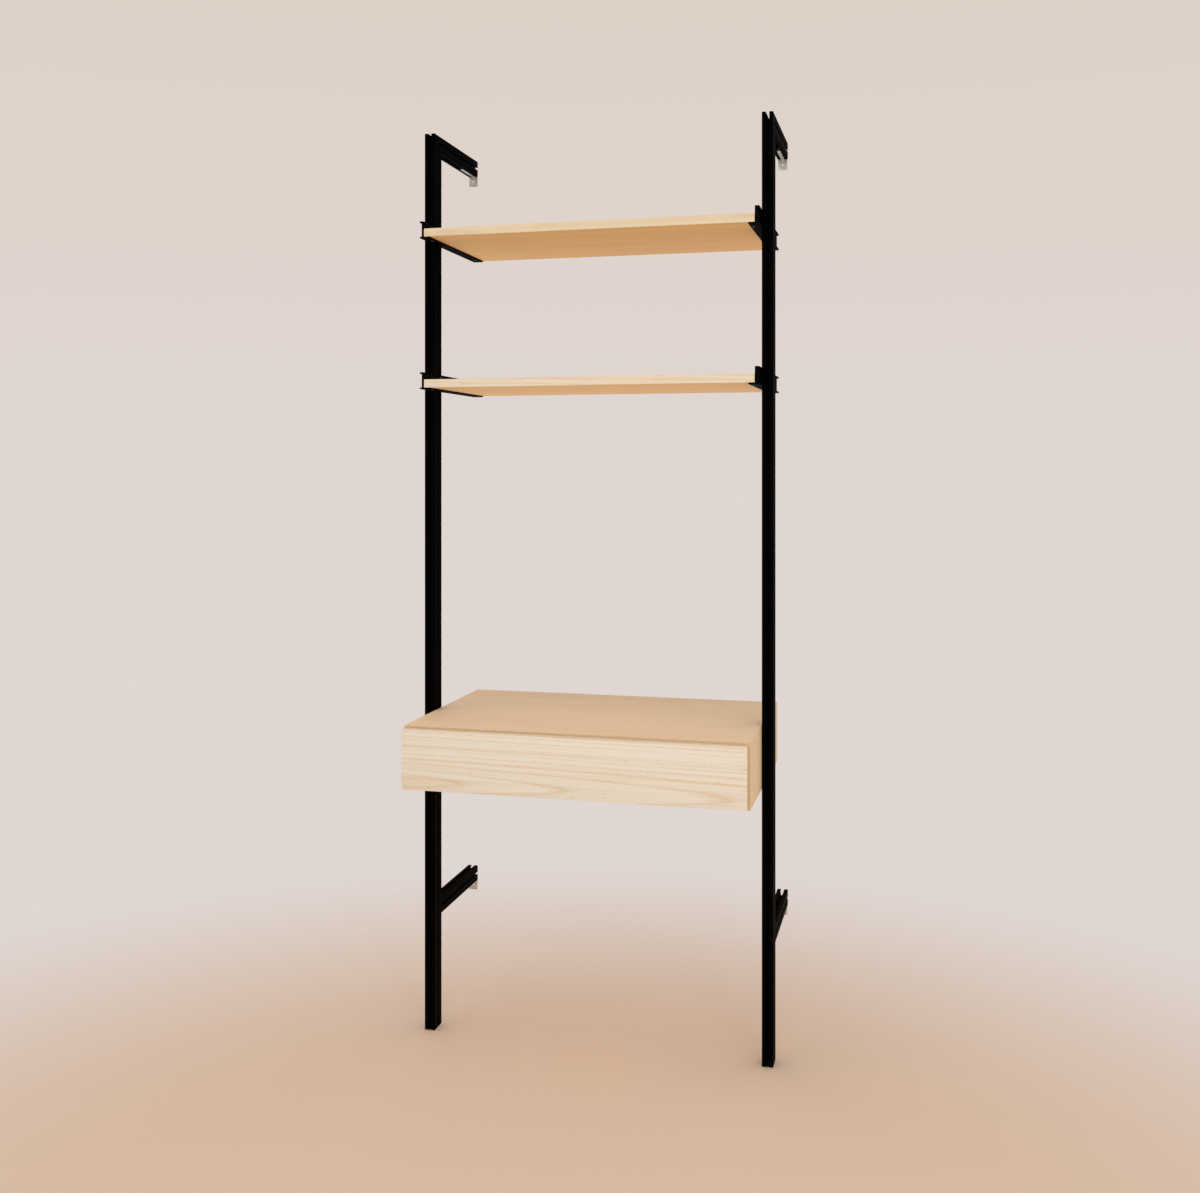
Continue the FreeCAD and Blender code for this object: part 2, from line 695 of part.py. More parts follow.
# Drawer slides: three nested channels a side, each running inside the one before.
SLIDES = {
    "slide_space": 12.7,
    "slide_setback": 3,
    "slide_rear_gap": 28.3,
    "slide_height": 45.7,
    "slide_wall": 1.2,
    "slide_run": 0.4,
    "slide_web_gap": 1.6,
    "outer_tip_gap": 3.1,
    "middle_tip_gap": 0.7,
    "inner_tip_gap": 1,
    "slide_screw_inset": 35,
    "slide_screw_radius": 1.9,
    "slide_screw_head_radius": 3.4,
    "slide_screw_head_height": 1,
    "case_screw_grip": 13,
    "box_screw_grip": 10,
}
write_sizes(SLIDES)
DRAWER_BOX = {
    "box_board": 12.7,
    "box_rear_gap": 27.6,
    "box_floor_gap": 8,
    "box_top_gap": 7.5,
    "panel_thickness": 6.35,
    "panel_rise": 10,
    "groove_depth": 6.35,
    "panel_play": 0.35,
    "front_screw_inset": 60,
    "front_screw_radius": 2,
    "front_screw_head_radius": 4,
    "front_screw_head_height": 2.2,
    "front_screw_grip": 14,
    "low_screw_share": 0.35,
    "high_screw_share": 0.75,
}
write_sizes(DRAWER_BOX)
derive(box_half="case_inner - slide_space",
       box_height="case_height - 2 * case_board - box_floor_gap - box_top_gap",
       box_length="push_gap + case_depth - back_thickness - box_rear_gap",
       box_bottom="case_floor + box_floor_gap",
       box_front="case_front - push_gap",
       slide_front="case_front + slide_setback",
       slide_length="case_depth - back_thickness - slide_setback - slide_rear_gap",
       middle_height="slide_height - 2 * slide_wall - 2 * slide_run",
       inner_height="slide_height - 4 * slide_wall - 4 * slide_run",
       middle_start="slide_wall + slide_web_gap",
       outer_reach="slide_space - outer_tip_gap",
       middle_reach="slide_space - 2 * slide_wall - slide_web_gap - middle_tip_gap",
       inner_reach="slide_space - 2 * slide_wall - slide_web_gap - inner_tip_gap")
derive(slide_middle="box_bottom + box_height / 2")


def slide_screw_rows():
    """Distances behind the slide's front end of its screws."""
    return ("slide_screw_inset", "slide_length / 2", "slide_length - slide_screw_inset")


def slide_member(label, sign, start, reach, height, drilled=True):
    """One channel: its web stands at start, and its flanges reach from there by reach."""
    body = new_body(label)
    web = "%d * (%s + %s slide_wall)" % (-sign, start, "-" if reach.startswith("-") else "1 *")
    back, end = "%d * (%s)" % (-sign, start), "%d * (%s + %s)" % (-sign, start, reach)
    low, high = "-%s / 2" % height, "%s / 2" % height
    points = [(back, low), (end, low), (end, low + " + slide_wall"), (web, low + " + slide_wall"),
              (web, high + " - slide_wall"), (end, high + " - slide_wall"), (end, high), (back, high)]
    pad(body, sketch_on(body, "XZ_Plane", points), "slide_length", backwards=True)
    if drilled:
        holes = [(row, "0", "slide_screw_radius + fit") for row in slide_screw_rows()]
        pocket(body, sketch_on(body, "YZ_Plane", drills=holes))
    put(body, "%d * case_inner" % sign, "slide_front", "slide_middle")


def slides(side, sign):
    """The fixed channel, the middle one nested in it and the drawer's channel nested in that."""
    slide_member(side + "_slide_outer", sign, "0", "outer_reach", "slide_height")
    slide_member(side + "_slide_middle", sign, "middle_start", "middle_reach", "middle_height", False)
    slide_member(side + "_slide_inner", sign, "slide_space", "-inner_reach", "inner_height")


def slide_screws():
    """Three screws per channel: into the case's side, and into the drawer's side."""
    for label, seat, grip, way in (("slide_case_screws", "case_inner - slide_wall", "case_screw_grip", 1),
                                   ("slide_drawer_screws", "box_half + slide_wall", "box_screw_grip", -1)):
        master = screw(label + "_master", "slide_screw_head_radius", "slide_screw_head_height",
                       "slide_screw_radius", "slide_wall + " + grip)
        places = []
        for side, sign in SIDES:
            for row in slide_screw_rows():
                x = "%d * (%s)" % (sign, seat)
                places.append((V(sign * way, 0, 0), x, "slide_front + " + row, "slide_middle"))
        copies(label, master, places)


# Drawer: a finger-jointed box with a captured bottom, behind a plain overlaid front.
FINGERS = 5


def fingered_ends(near, far, step):
    """Outline of a board whose ends have fingers: step is how far the even ones stand out or back."""
    right, left = [], []
    for i in range(FINGERS):
        low, high = "%d * box_height / %d" % (i, FINGERS), "%d * box_height / %d" % (i + 1, FINGERS)
        shift = step if i % 2 else "0"
        right += [("%s + %s" % (far, shift), low), ("%s + %s" % (far, shift), high)]
        left += [("%s - (%s)" % (near, shift), low), ("%s - (%s)" % (near, shift), high)]
    return right + left[::-1]


def drawer_side(side, sign):
    """A side: its odd fingers run the full length, and a stopped groove holds the bottom."""
    body = new_body("drawer_%s_side" % side)
    outline = fingered_ends("0", "box_length", "-box_board")
    pad(body, sketch_on(body, "YZ_Plane", outline), "box_board", backwards=sign > 0)
    near, far = "box_board - groove_depth", "box_length - box_board + groove_depth"
    low, high = "panel_rise", "panel_rise + panel_thickness"
    groove = [(near, low), (far, low), (far, high), (near, high)]
    face = "%d * box_board" % -sign
    pocket(body, sketch_on(body, "YZ_Plane", groove, lift=face), "groove_depth", sign > 0)
    holes = [("slide_front - box_front + " + row, "box_height / 2", "slide_screw_radius")
             for row in slide_screw_rows()]
    pocket(body, sketch_on(body, "YZ_Plane", drills=holes), "box_screw_grip", sign < 0)
    put(body, "%d * box_half" % sign, "box_front", "box_bottom")


def box_end(label, start, faces_wall):
    """The box's front or back: its even fingers reach through the sides."""
    body = new_body(label)
    inner = "(box_half - box_board)"
    outline = fingered_ends("-" + inner, inner, "box_board")
    holes = front_screw_places() if faces_wall else []
    drills = [(x, z, "front_screw_radius + fit") for x, z in holes]
    pad(body, sketch_on(body, "XZ_Plane", outline, drills), "box_board", backwards=True)
    low, high = "panel_rise", "panel_rise + panel_thickness"
    groove = [("-" + inner, low), (inner, low), (inner, high), ("-" + inner, high)]
    face = "-box_board" if faces_wall else "0"
    pocket(body, sketch_on(body, "XZ_Plane", groove, lift=face), "groove_depth", faces_wall)
    put(body, "0", start, "box_bottom")


def front_screw_places():
    """Places of the screws that hold the front, across and above the box's lower edge."""
    across = "(box_half - front_screw_inset)"
    rows = ("box_height * low_screw_share", "box_height * high_screw_share")
    return [(way + across, height) for way in ("-", "") for height in rows]


def drawer_bottom():
    """The bottom panel, a little smaller than the grooves that hold it."""
    body = new_body("drawer_bottom")
    half = "(box_half - box_board + groove_depth - panel_play)"
    near, far = "box_board - groove_depth + panel_play", "box_length - box_board + groove_depth - panel_play"
    points = [("-" + half, near), (half, near), (half, far), ("-" + half, far)]
    pad(body, sketch_on(body, "XY_Plane", points), "panel_thickness")
    put(body, "0", "box_front", "box_bottom + panel_rise")


def drawer_front():
    """The overlaid front, with eased edges, centred on the case with a narrow reveal all round."""
    body = new_body("drawer_front")
    half = "(case_half - front_side_reveal)"
    points = [("-" + half, "0"), (half, "0"), (half, "front_height"), ("-" + half, "front_height")]
    board = pad(body, sketch_on(body, "XZ_Plane", points), "front_thickness", backwards=True)
    dress(body, "Chamfer", board, range(len(board.Shape.Edges)), "edge_ease")
    drop = "case_bottom + front_top_reveal"
    pilots = [(x, "%s + box_bottom - (%s)" % (z, drop), "front_screw_radius") for x, z in front_screw_places()]
    holes = sketch_on(body, "XZ_Plane", drills=pilots, lift="-front_thickness")
    pocket(body, holes, "front_screw_grip", backwards=True)
    put(body, "0", "box_front - front_thickness", drop)


def drawer_front_screws():
    """Four screws, from inside the box into the front."""
    master = screw("front_screw", "front_screw_head_radius", "front_screw_head_height",
                   "front_screw_radius", "box_board + front_screw_grip")
    places = [(V(0, -1, 0), x, "box_front + box_board", "box_bottom + " + z) for x, z in front_screw_places()]
    copies("drawer_front_screws", master, places)


def build():
    """Make every piece, from the floor up and then from the wall side to the drawer."""
    for side, sign in SIDES:
        post(side, sign)
        foot_plate(side, sign)
        upper_arm(side, sign)
        lower_arm(side, sign)
        corner_connector(side, sign)
        for level, middle in LEVELS:
            wall_bracket(level, middle, side, sign)
    foot_plate_screws()
    arm_anchors()
    corner_grub_screws()
    wall_bracket_grub_screws()
    for level, seat in SHELVES:
        for side, sign in SIDES:
            shelf_bracket(level, seat, side, sign)
        shelf(level, seat)
    shelf_screws()
    shelf_bracket_bolts()
    case_panel("desk_top", "desk_height", -1)
    case_panel("desk_bottom", "case_bottom", 1)
    case_back()
    for side, sign in SIDES:
        case_side(side, sign)
        slides(side, sign)
        drawer_side(side, sign)
    desk_mounting_bolts()
    slide_screws()
    box_end("drawer_box_front", "box_front", True)
    box_end("drawer_box_back", "box_front + box_length - box_board", False)
    drawer_bottom()
    drawer_front()
    drawer_front_screws()


def check_and_write():
    """Refuse a failed or invalid piece, then write one file per node."""
    doc.recompute()
    failed = [item.Label for item in doc.Objects if "Invalid" in item.State or "Error" in item.State]
    if failed:
        raise ValueError("failed objects: " + ", ".join(failed))
    os.makedirs("parts", exist_ok=True)
    for node in nodes:
        if node.Shape.isNull() or not node.Shape.isValid():
            raise ValueError("bad shape: " + node.Label)
        node.Shape.exportStep("parts/%s.step" % node.Label)
        solids = len(node.Shape.Solids)
        print("%-28s %2d solids  %12.1f mm3" % (node.Label, solids, node.Shape.Volume))


build()
check_and_write()
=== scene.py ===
import math

import bmesh
import bpy
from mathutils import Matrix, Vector


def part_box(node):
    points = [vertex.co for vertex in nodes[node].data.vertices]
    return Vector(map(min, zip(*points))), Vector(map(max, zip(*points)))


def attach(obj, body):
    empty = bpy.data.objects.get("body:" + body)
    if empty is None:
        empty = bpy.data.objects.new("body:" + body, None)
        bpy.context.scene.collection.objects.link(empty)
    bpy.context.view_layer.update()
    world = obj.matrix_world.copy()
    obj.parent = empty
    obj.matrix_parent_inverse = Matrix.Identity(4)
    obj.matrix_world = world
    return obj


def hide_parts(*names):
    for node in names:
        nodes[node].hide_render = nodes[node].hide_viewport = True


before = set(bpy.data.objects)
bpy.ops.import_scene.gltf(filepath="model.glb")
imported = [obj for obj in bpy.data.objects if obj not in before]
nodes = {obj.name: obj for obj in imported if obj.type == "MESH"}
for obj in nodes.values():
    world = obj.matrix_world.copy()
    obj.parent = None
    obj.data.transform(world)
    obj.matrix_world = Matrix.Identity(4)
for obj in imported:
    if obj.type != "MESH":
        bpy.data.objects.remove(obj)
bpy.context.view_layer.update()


# The studio: a plain pale floor melts into an even surround, which warms towards the ceiling.
# A broad soft light stands behind the camera, a second one hangs above, and a weak warm one
# lies on the floor for the glow under the boards. The camera sees none of them.
FLOOR_HALF = 9.0
FLOOR_COLOUR = (0.785, 0.695, 0.610)
FLOOR_ROUGHNESS = 0.75
FLOOR_MIDDLE = (0.15, -1.0, 0.0)
FLOOR_FADE_START = 0.9
FLOOR_FADE_END = 2.5
SURROUND_LEVEL = (0.745, 0.675, 0.645)
SURROUND_SKY = ((0.0, SURROUND_LEVEL), (0.33, (0.735, 0.640, 0.570)), (1.0, (0.68, 0.47, 0.32)))
LIGHTS = (
    {"name": "front_light", "place": (1.6, -4.6, 2.2), "aim": (0.0, 0.0, 0.9),
     "width": 3.4, "power": 70.0, "colour": (0.95, 0.985, 1.0)},
    {"name": "top_light", "place": (-0.6, -1.6, 4.4), "aim": (0.0, 0.1, 1.0),
     "width": 2.6, "power": 16.0, "colour": (1.0, 0.88, 0.74)},
    {"name": "warm_bounce", "place": (0.0, 0.2, 0.012), "aim": (0.0, 0.15, 1.5),
     "width": 2.8, "power": 9.0, "colour": (1.0, 0.62, 0.34)},
)
bpy.context.scene.view_settings.view_transform = "Standard"


def add(tree, kind, *sources, **settings):
    """Add a shader node, feed its first inputs, and set the rest by name."""
    made = tree.nodes.new(kind)
    for slot, source in enumerate(sources):
        if isinstance(source, bpy.types.NodeSocket):
            tree.links.new(source, made.inputs[slot])
        else:
            made.inputs[slot].default_value = source
    for key, value in settings.items():
        setattr(made, key, value)
    return made


def colour_ramp(tree, value, stops):
    """Map a value through colours, each at its position."""
    made = add(tree, "ShaderNodeValToRGB", value)
    while len(made.color_ramp.elements) < len(stops):
        made.color_ramp.elements.new(1.0)
    for element, (position, colour) in zip(made.color_ramp.elements, stops):
        element.position = position
        element.color = (*colour, 1.0)
    return made.outputs["Color"]


def new_finish(name):
    """A node material, its tree and its surface shader."""
    material = bpy.data.materials.new(name)
    material.use_nodes = True
    return material, material.node_tree, material.node_tree.nodes["Principled BSDF"]


floor_mesh = bpy.data.meshes.new("floor")
floor_corners = [(x * FLOOR_HALF, y * FLOOR_HALF, 0.0)
                 for x, y in ((-1, -1), (1, -1), (1, 1), (-1, 1))]
floor_mesh.from_pydata(floor_corners, [], [(0, 1, 2, 3)])
floor = bpy.data.objects.new("floor", floor_mesh)
bpy.context.scene.collection.objects.link(floor)
floor_finish, floor_tree, floor_surface = new_finish("floor")
floor_surface.inputs["Base Color"].default_value = (*FLOOR_COLOUR, 1.0)
floor_surface.inputs["Roughness"].default_value = FLOOR_ROUGHNESS
floor_place = add(floor_tree, "ShaderNodeTexCoord").outputs["Object"]
floor_reach = add(floor_tree, "ShaderNodeVectorMath", floor_place, FLOOR_MIDDLE,
                  operation="DISTANCE").outputs["Value"]
floor_fade = add(floor_tree, "ShaderNodeMapRange", floor_reach, FLOOR_FADE_START, FLOOR_FADE_END,
                 interpolation_type="SMOOTHSTEP").outputs["Result"]
floor_far = add(floor_tree, "ShaderNodeEmission", (*SURROUND_LEVEL, 1.0))
floor_blend = add(floor_tree, "ShaderNodeMixShader", floor_fade, floor_surface.outputs[0],
                  floor_far.outputs[0])
floor_tree.links.new(floor_blend.outputs[0],
                     floor_tree.nodes["Material Output"].inputs["Surface"])
floor.data.materials.append(floor_finish)

world = bpy.data.worlds.new("surround")
world.use_nodes = True
sky_tree = world.node_tree
sky_way = add(sky_tree, "ShaderNodeTexCoord").outputs["Generated"]
sky_height = add(sky_tree, "ShaderNodeSeparateXYZ", sky_way).outputs["Z"]
sky_tree.links.new(colour_ramp(sky_tree, sky_height, SURROUND_SKY),
                   sky_tree.nodes["Background"].inputs["Color"])
bpy.context.scene.world = world

for lamp in LIGHTS:
    data = bpy.data.lights.new(lamp["name"], "AREA")
    data.size = lamp["width"]
    data.energy = lamp["power"]
    data.color = lamp["colour"]
    light = bpy.data.objects.new(lamp["name"], data)
    light.location = lamp["place"]
    way = Vector(lamp["aim"]) - Vector(lamp["place"])
    light.rotation_euler = way.to_track_quat("-Z", "Y").to_euler()
    light.visible_camera = False
    bpy.context.scene.collection.objects.link(light)


# The camera stands level in front of the unit's right side and is turned a little to the left.
# Its image is shifted down rather than tilted, so the posts stay upright as in the photograph.
IMAGE_WIDTH = 1200
FOCAL_PIXELS = 1323.33
HORIZON_ABOVE_MIDDLE = 129.5
SENSOR_WIDTH = 36.0
CAMERA_PLACE = (0.7612, -3.00105, 1.3407)
CAMERA_TURN = 14.164
camera_data = bpy.data.cameras.new("camera")
camera_data.sensor_width = SENSOR_WIDTH
camera_data.lens = FOCAL_PIXELS / IMAGE_WIDTH * SENSOR_WIDTH
camera_data.shift_y = -HORIZON_ABOVE_MIDDLE / IMAGE_WIDTH
camera = bpy.data.objects.new("camera", camera_data)
camera.location = CAMERA_PLACE
camera.rotation_euler = (math.radians(90.0), 0.0, math.radians(CAMERA_TURN))
bpy.context.scene.collection.objects.link(camera)
bpy.context.scene.camera = camera


# Posts: black anodised slotted extrusions, mitred at the top where the upper arms join them.
# Faint die lines run along the metal, and the matt skin is a little uneven.
UPRIGHT_LINES = (900.0, 900.0, 1.5)
SKIN_CLOUDS = (14.0, 14.0, 14.0)
SKIN_NOISE = (3.0, 0.6)
SKIN_WEAR = ((0.45, 0.0), (0.75, 1.0))
SKIN_ROUGHNESS = ((0.25, 0.55), (0.75, 0.75))
SKIN_SPECULAR = 0.006
SKIN_RELIEF = 0.00003
BLACK_SKIN = (0.0009, 0.0008, 0.0008)
BLACK_WORN = (0.0030, 0.0025, 0.0022)


def stretched(tree, scales):
    """The object's own coordinates, scaled by a different amount along each axis."""
    place = add(tree, "ShaderNodeTexCoord").outputs["Object"]
    return add(tree, "ShaderNodeVectorMath", place, scales, operation="MULTIPLY").outputs[0]


def noise(tree, vector, detail, roughness):
    """Smooth noise between 0 and 1 on the given coordinates."""
    made = add(tree, "ShaderNodeTexNoise", vector)
    made.inputs["Scale"].default_value = 1.0
    made.inputs["Detail"].default_value = detail
    made.inputs["Roughness"].default_value = roughness
    return made.outputs["Fac"]


def ramp(tree, value, stops):
    """Map a value through grey stops, each a position and a level."""
    return colour_ramp(tree, value, [(position, (level,) * 3) for position, level in stops])


def mixed(tree, amount, first, second):
    """Blend two colours, each a socket or plain, by an amount."""
    made = tree.nodes.new("ShaderNodeMix")
    made.data_type = "RGBA"
    tree.links.new(amount, made.inputs[0])
    for slot, colour in ((6, first), (7, second)):
        if isinstance(colour, bpy.types.NodeSocket):
            tree.links.new(colour, made.inputs[slot])
        else:
            made.inputs[slot].default_value = (*colour, 1.0)
    return made.outputs[2]


def bump(tree, surface, height, distance):
    """Give the surface small relief from a height."""
    made = add(tree, "ShaderNodeBump")
    made.inputs["Strength"].default_value = 1.0
    made.inputs["Distance"].default_value = distance
    tree.links.new(height, made.inputs["Height"])
    tree.links.new(made.outputs["Normal"], surface.inputs["Normal"])


def black_anodised(name, line_scales):
    """Matt black skin on extruded metal, with die lines along one axis."""
    material, tree, surface = new_finish(name)
    lines = noise(tree, stretched(tree, line_scales), *SKIN_NOISE)
    clouds = noise(tree, stretched(tree, SKIN_CLOUDS), *SKIN_NOISE)
    colour = mixed(tree, ramp(tree, clouds, SKIN_WEAR), BLACK_SKIN, BLACK_WORN)
    tree.links.new(colour, surface.inputs["Base Color"])
    tree.links.new(ramp(tree, lines, SKIN_ROUGHNESS), surface.inputs["Roughness"])
    surface.inputs["Specular IOR Level"].default_value = SKIN_SPECULAR
    bump(tree, surface, lines, SKIN_RELIEF)
    return material


def finish_node(node, material):
    """Give a CAD piece a finish in place of its plain one."""
    slots = nodes[node].data.materials
    slots.clear()
    slots.append(material)


upright_black = black_anodised("upright_black_anodised", UPRIGHT_LINES)
for side in ("left", "right"):
    finish_node(side + "_post", upright_black)


# Foot plates: thin bare steel plates that close the posts' lower ends.
# Fine brushed lines run across them, with dull marks from handling.
PLATE_LINES = (1400.0, 90.0, 1400.0)
PLATE_METAL = (0.62, 0.60, 0.575)
PLATE_METAL_DULL = (0.44, 0.42, 0.40)
PLATE_ROUGHNESS = (0.26, 0.46)
METAL_LINE_NOISE = (4.0, 0.65)
METAL_MARKS = (60.0, 60.0, 60.0)
METAL_MARK_NOISE = (4.0, 0.6)
METAL_DULLING = ((0.42, 0.0), (0.70, 1.0))
METAL_SMOOTHEST_AT = 0.2
METAL_ROUGHEST_AT = 0.8
METAL_RELIEF = 0.00005


def bare_metal(name, line_scales, bright, dull, roughness):
    """Bare brushed metal with fine lines and dull handling marks."""
    material, tree, surface = new_finish(name)
    lines = noise(tree, stretched(tree, line_scales), *METAL_LINE_NOISE)
    marks = noise(tree, stretched(tree, METAL_MARKS), *METAL_MARK_NOISE)
    colour = mixed(tree, ramp(tree, marks, METAL_DULLING), bright, dull)
    tree.links.new(colour, surface.inputs["Base Color"])
    surface.inputs["Metallic"].default_value = 1.0
    stops = list(zip((METAL_SMOOTHEST_AT, METAL_ROUGHEST_AT), roughness))
    tree.links.new(ramp(tree, lines, stops), surface.inputs["Roughness"])
    bump(tree, surface, lines, METAL_RELIEF)
    return material


bare_plate = bare_metal("bare_plate", PLATE_LINES, PLATE_METAL, PLATE_METAL_DULL, PLATE_ROUGHNESS)
for side in ("left", "right"):
    finish_node(side + "_foot_plate", bare_plate)


# Foot plate screws: zinc-plated steel, with a flat head flush under each plate and a socket.
# Of each kind of screw one is modelled with its thread, here and in the sections below,
# and a node tree sets it at every place and in every direction where the group has a solid.
ZINC_LINES = (500.0, 500.0, 500.0)
ZINC = (0.58, 0.585, 0.60)
ZINC_DULL = (0.40, 0.405, 0.41)
ZINC_ROUGHNESS = (0.22, 0.40)
SCREW_SIDES = 32
SOCKET_SIDES = 6
THREAD_PITCH = 0.0012
THREAD_LIFT = 0.05
THREAD_STEPS = ((0.0, 1.0), (0.4, 1.0), (0.7, 0.84))
SCREW_TIP = 0.7
SHARP_ANGLE = math.radians(35.0)
MERGE_DISTANCE = 1e-6
ROUNDING_DIGITS = 4
FOOT_HEAD = 0.0046
FOOT_EDGE = 0.98
FOOT_RIM = 0.0001
FOOT_CONE = 0.0021
FOOT_SOCKET = (0.0018, 0.0014)
FOOT_SHANK = 0.0025
FOOT_LENGTH = 0.0178
SHANK_PLAY = 0.99


def screw_mesh(name, head_profile, socket, shank_radius, length):
    """One screw up Z from its seat.

    The head's profile holds radius and height from the socket's rim down to the seat, and the
    socket its radius and depth.
    """
    work = bmesh.new()
    socket_radius, socket_depth = socket

    def circle(radius, height):
        turn = math.tau / SCREW_SIDES
        return [work.verts.new((radius * math.cos(i * turn), radius * math.sin(i * turn), height))
                for i in range(SCREW_SIDES)]

    def hexagon(height):
        ring = []
        for i in range(SCREW_SIDES):
            angle = i * math.tau / SCREW_SIDES
            part = (angle % (math.tau / SOCKET_SIDES)) - math.pi / SOCKET_SIDES
            reach = socket_radius * math.cos(math.pi / SOCKET_SIDES) / math.cos(part)
            ring.append(work.verts.new((reach * math.cos(angle), reach * math.sin(angle), height)))
        return ring

    def skirt(low, high):
        for i in range(len(low)):
            j = (i + 1) % len(low)
            work.faces.new((low[i], low[j], high[j], high[i]))

    top = head_profile[0][1]
    rings = [hexagon(top + socket_depth), hexagon(top)]
    rings += [circle(radius, height) for radius, height in head_profile]
    turns = max(2, int(length / THREAD_PITCH))
    pitch = length / (turns + 1)
    for i in range(turns):
        for step, share in THREAD_STEPS:
            rings.append(circle(shank_radius * share, pitch * (i + step) + pitch * THREAD_LIFT))
    rings.append(circle(shank_radius * SCREW_TIP, length))
    for low, high in zip(rings, rings[1:]):
        skirt(low, high)
    work.faces.new(rings[0])
    work.faces.new(rings[-1])
    bmesh.ops.recalc_face_normals(work, faces=work.faces)
    mesh = bpy.data.meshes.new(name)
    work.to_mesh(mesh)
    work.free()
    mesh.shade_smooth()
    mesh.set_sharp_from_angle(angle=SHARP_ANGLE)
    return mesh


def setting_tree():
    """A node tree that sets a fastener at each point, turned to the point's own direction."""
    tree = bpy.data.node_groups.new("set_fasteners", "GeometryNodeTree")
    for name, in_out, kind in (("Places", "INPUT", "NodeSocketGeometry"),
                               ("Fastener", "INPUT", "NodeSocketObject"),
                               ("Finish", "INPUT", "NodeSocketMaterial"),
                               ("Fasteners", "OUTPUT", "NodeSocketGeometry")):
        tree.interface.new_socket(name, in_out=in_out, socket_type=kind)
    given = tree.nodes.new("NodeGroupInput")
    result = tree.nodes.new("NodeGroupOutput")
    fastener = tree.nodes.new("GeometryNodeObjectInfo")
    towards = tree.nodes.new("GeometryNodeInputNamedAttribute")
    towards.data_type = "FLOAT_VECTOR"
    towards.inputs["Name"].default_value = "towards"
    turned = tree.nodes.new("FunctionNodeAlignRotationToVector")
    turned.axis = "Z"
    placed = tree.nodes.new("GeometryNodeInstanceOnPoints")
    real = tree.nodes.new("GeometryNodeRealizeInstances")
    coated = tree.nodes.new("GeometryNodeSetMaterial")
    for source, output, target, entry in (
            (given, "Fastener", fastener, "Object"),
            (towards, "Attribute", turned, "Vector"),
            (given, "Places", placed, "Points"),
            (fastener, "Geometry", placed, "Instance"),
            (turned, "Rotation", placed, "Rotation"),
            (placed, "Instances", real, "Geometry"),
            (real, "Geometry", coated, "Geometry"),
            (given, "Finish", coated, "Material"),
            (coated, "Geometry", result, "Fasteners")):
        tree.links.new(source.outputs[output], target.inputs[entry])
    return tree


SET_FASTENERS = setting_tree()


def solid_boxes(node):
    """Lower and upper corner of each separate solid of a CAD node."""
    work = bmesh.new()
    work.from_mesh(nodes[node].data)
    bmesh.ops.remove_doubles(work, verts=work.verts, dist=MERGE_DISTANCE)
    left = set(work.verts)
    boxes = []
    while left:
        queue = [left.pop()]
        group = list(queue)
        while queue:
            for edge in queue.pop().link_edges:
                for vert in edge.verts:
                    if vert in left:
                        left.remove(vert)
                        queue.append(vert)
                        group.append(vert)
        low = Vector([min(v.co[i] for v in group) for i in range(3)])
        high = Vector([max(v.co[i] for v in group) for i in range(3)])
        boxes.append((low, high))
    work.free()
    return sorted(boxes, key=lambda pair: tuple(round(c, ROUNDING_DIGITS) for c in pair[0]))


def stand_in(piece, body, node):
    """Link a modelled piece and let it stand for its CAD node on the same body."""
    bpy.context.scene.collection.objects.link(piece)
    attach(piece, body)
    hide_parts(node)


def set_fasteners(name, node, mesh, head_height, way, finish, body):
    """Put a modelled fastener where each solid of a CAD group is, turned the given way."""
    places, directions = [], []
    for low, high in solid_boxes(node):
        centre = (low + high) / 2
        towards = Vector(way(centre))
        reach = (high - low) / 2
        places.append(centre - towards * (abs(reach.dot(towards)) - head_height))
        directions.append(towards)
    points = bpy.data.meshes.new(name + "_places")
    points.from_pydata(places, [], [])
    attribute = points.attributes.new("towards", "FLOAT_VECTOR", "POINT")
    for i, direction in enumerate(directions):
        attribute.data[i].vector = direction
    holder = bpy.data.objects.new(name + "_holder", points)
    sample = bpy.data.objects.new(name + "_sample", mesh)
    for item in (holder, sample):
        bpy.context.scene.collection.objects.link(item)
    modifier = holder.modifiers.new("set_fasteners", "NODES")
    modifier.node_group = SET_FASTENERS
    inputs = {"Fastener": sample, "Finish": finish}
    for socket in SET_FASTENERS.interface.items_tree:
        if socket.name in inputs:
            modifier[socket.identifier] = inputs[socket.name]
    bpy.context.view_layer.update()
    ready = holder.evaluated_get(bpy.context.evaluated_depsgraph_get())
    piece = bpy.data.objects.new(name, bpy.data.meshes.new_from_object(ready))
    bpy.data.objects.remove(holder)
    bpy.data.objects.remove(sample)
    stand_in(piece, body, node)


def upwards(centre):
    """Up Z, from any place."""
    return (0.0, 0.0, 1.0)


zinc_plate = bare_metal("zinc_plate", ZINC_LINES, ZINC, ZINC_DULL, ZINC_ROUGHNESS)
foot_profile = ((FOOT_HEAD * FOOT_EDGE, 0.0), (FOOT_HEAD, FOOT_RIM), (FOOT_SHANK, FOOT_CONE))
foot_screw = screw_mesh("foot_screw", foot_profile, FOOT_SOCKET, FOOT_SHANK * SHANK_PLAY,
                        FOOT_LENGTH)
set_fasteners("foot_screws", "foot_plate_screws", foot_screw, 0.0, upwards,
              zinc_plate, "frame")


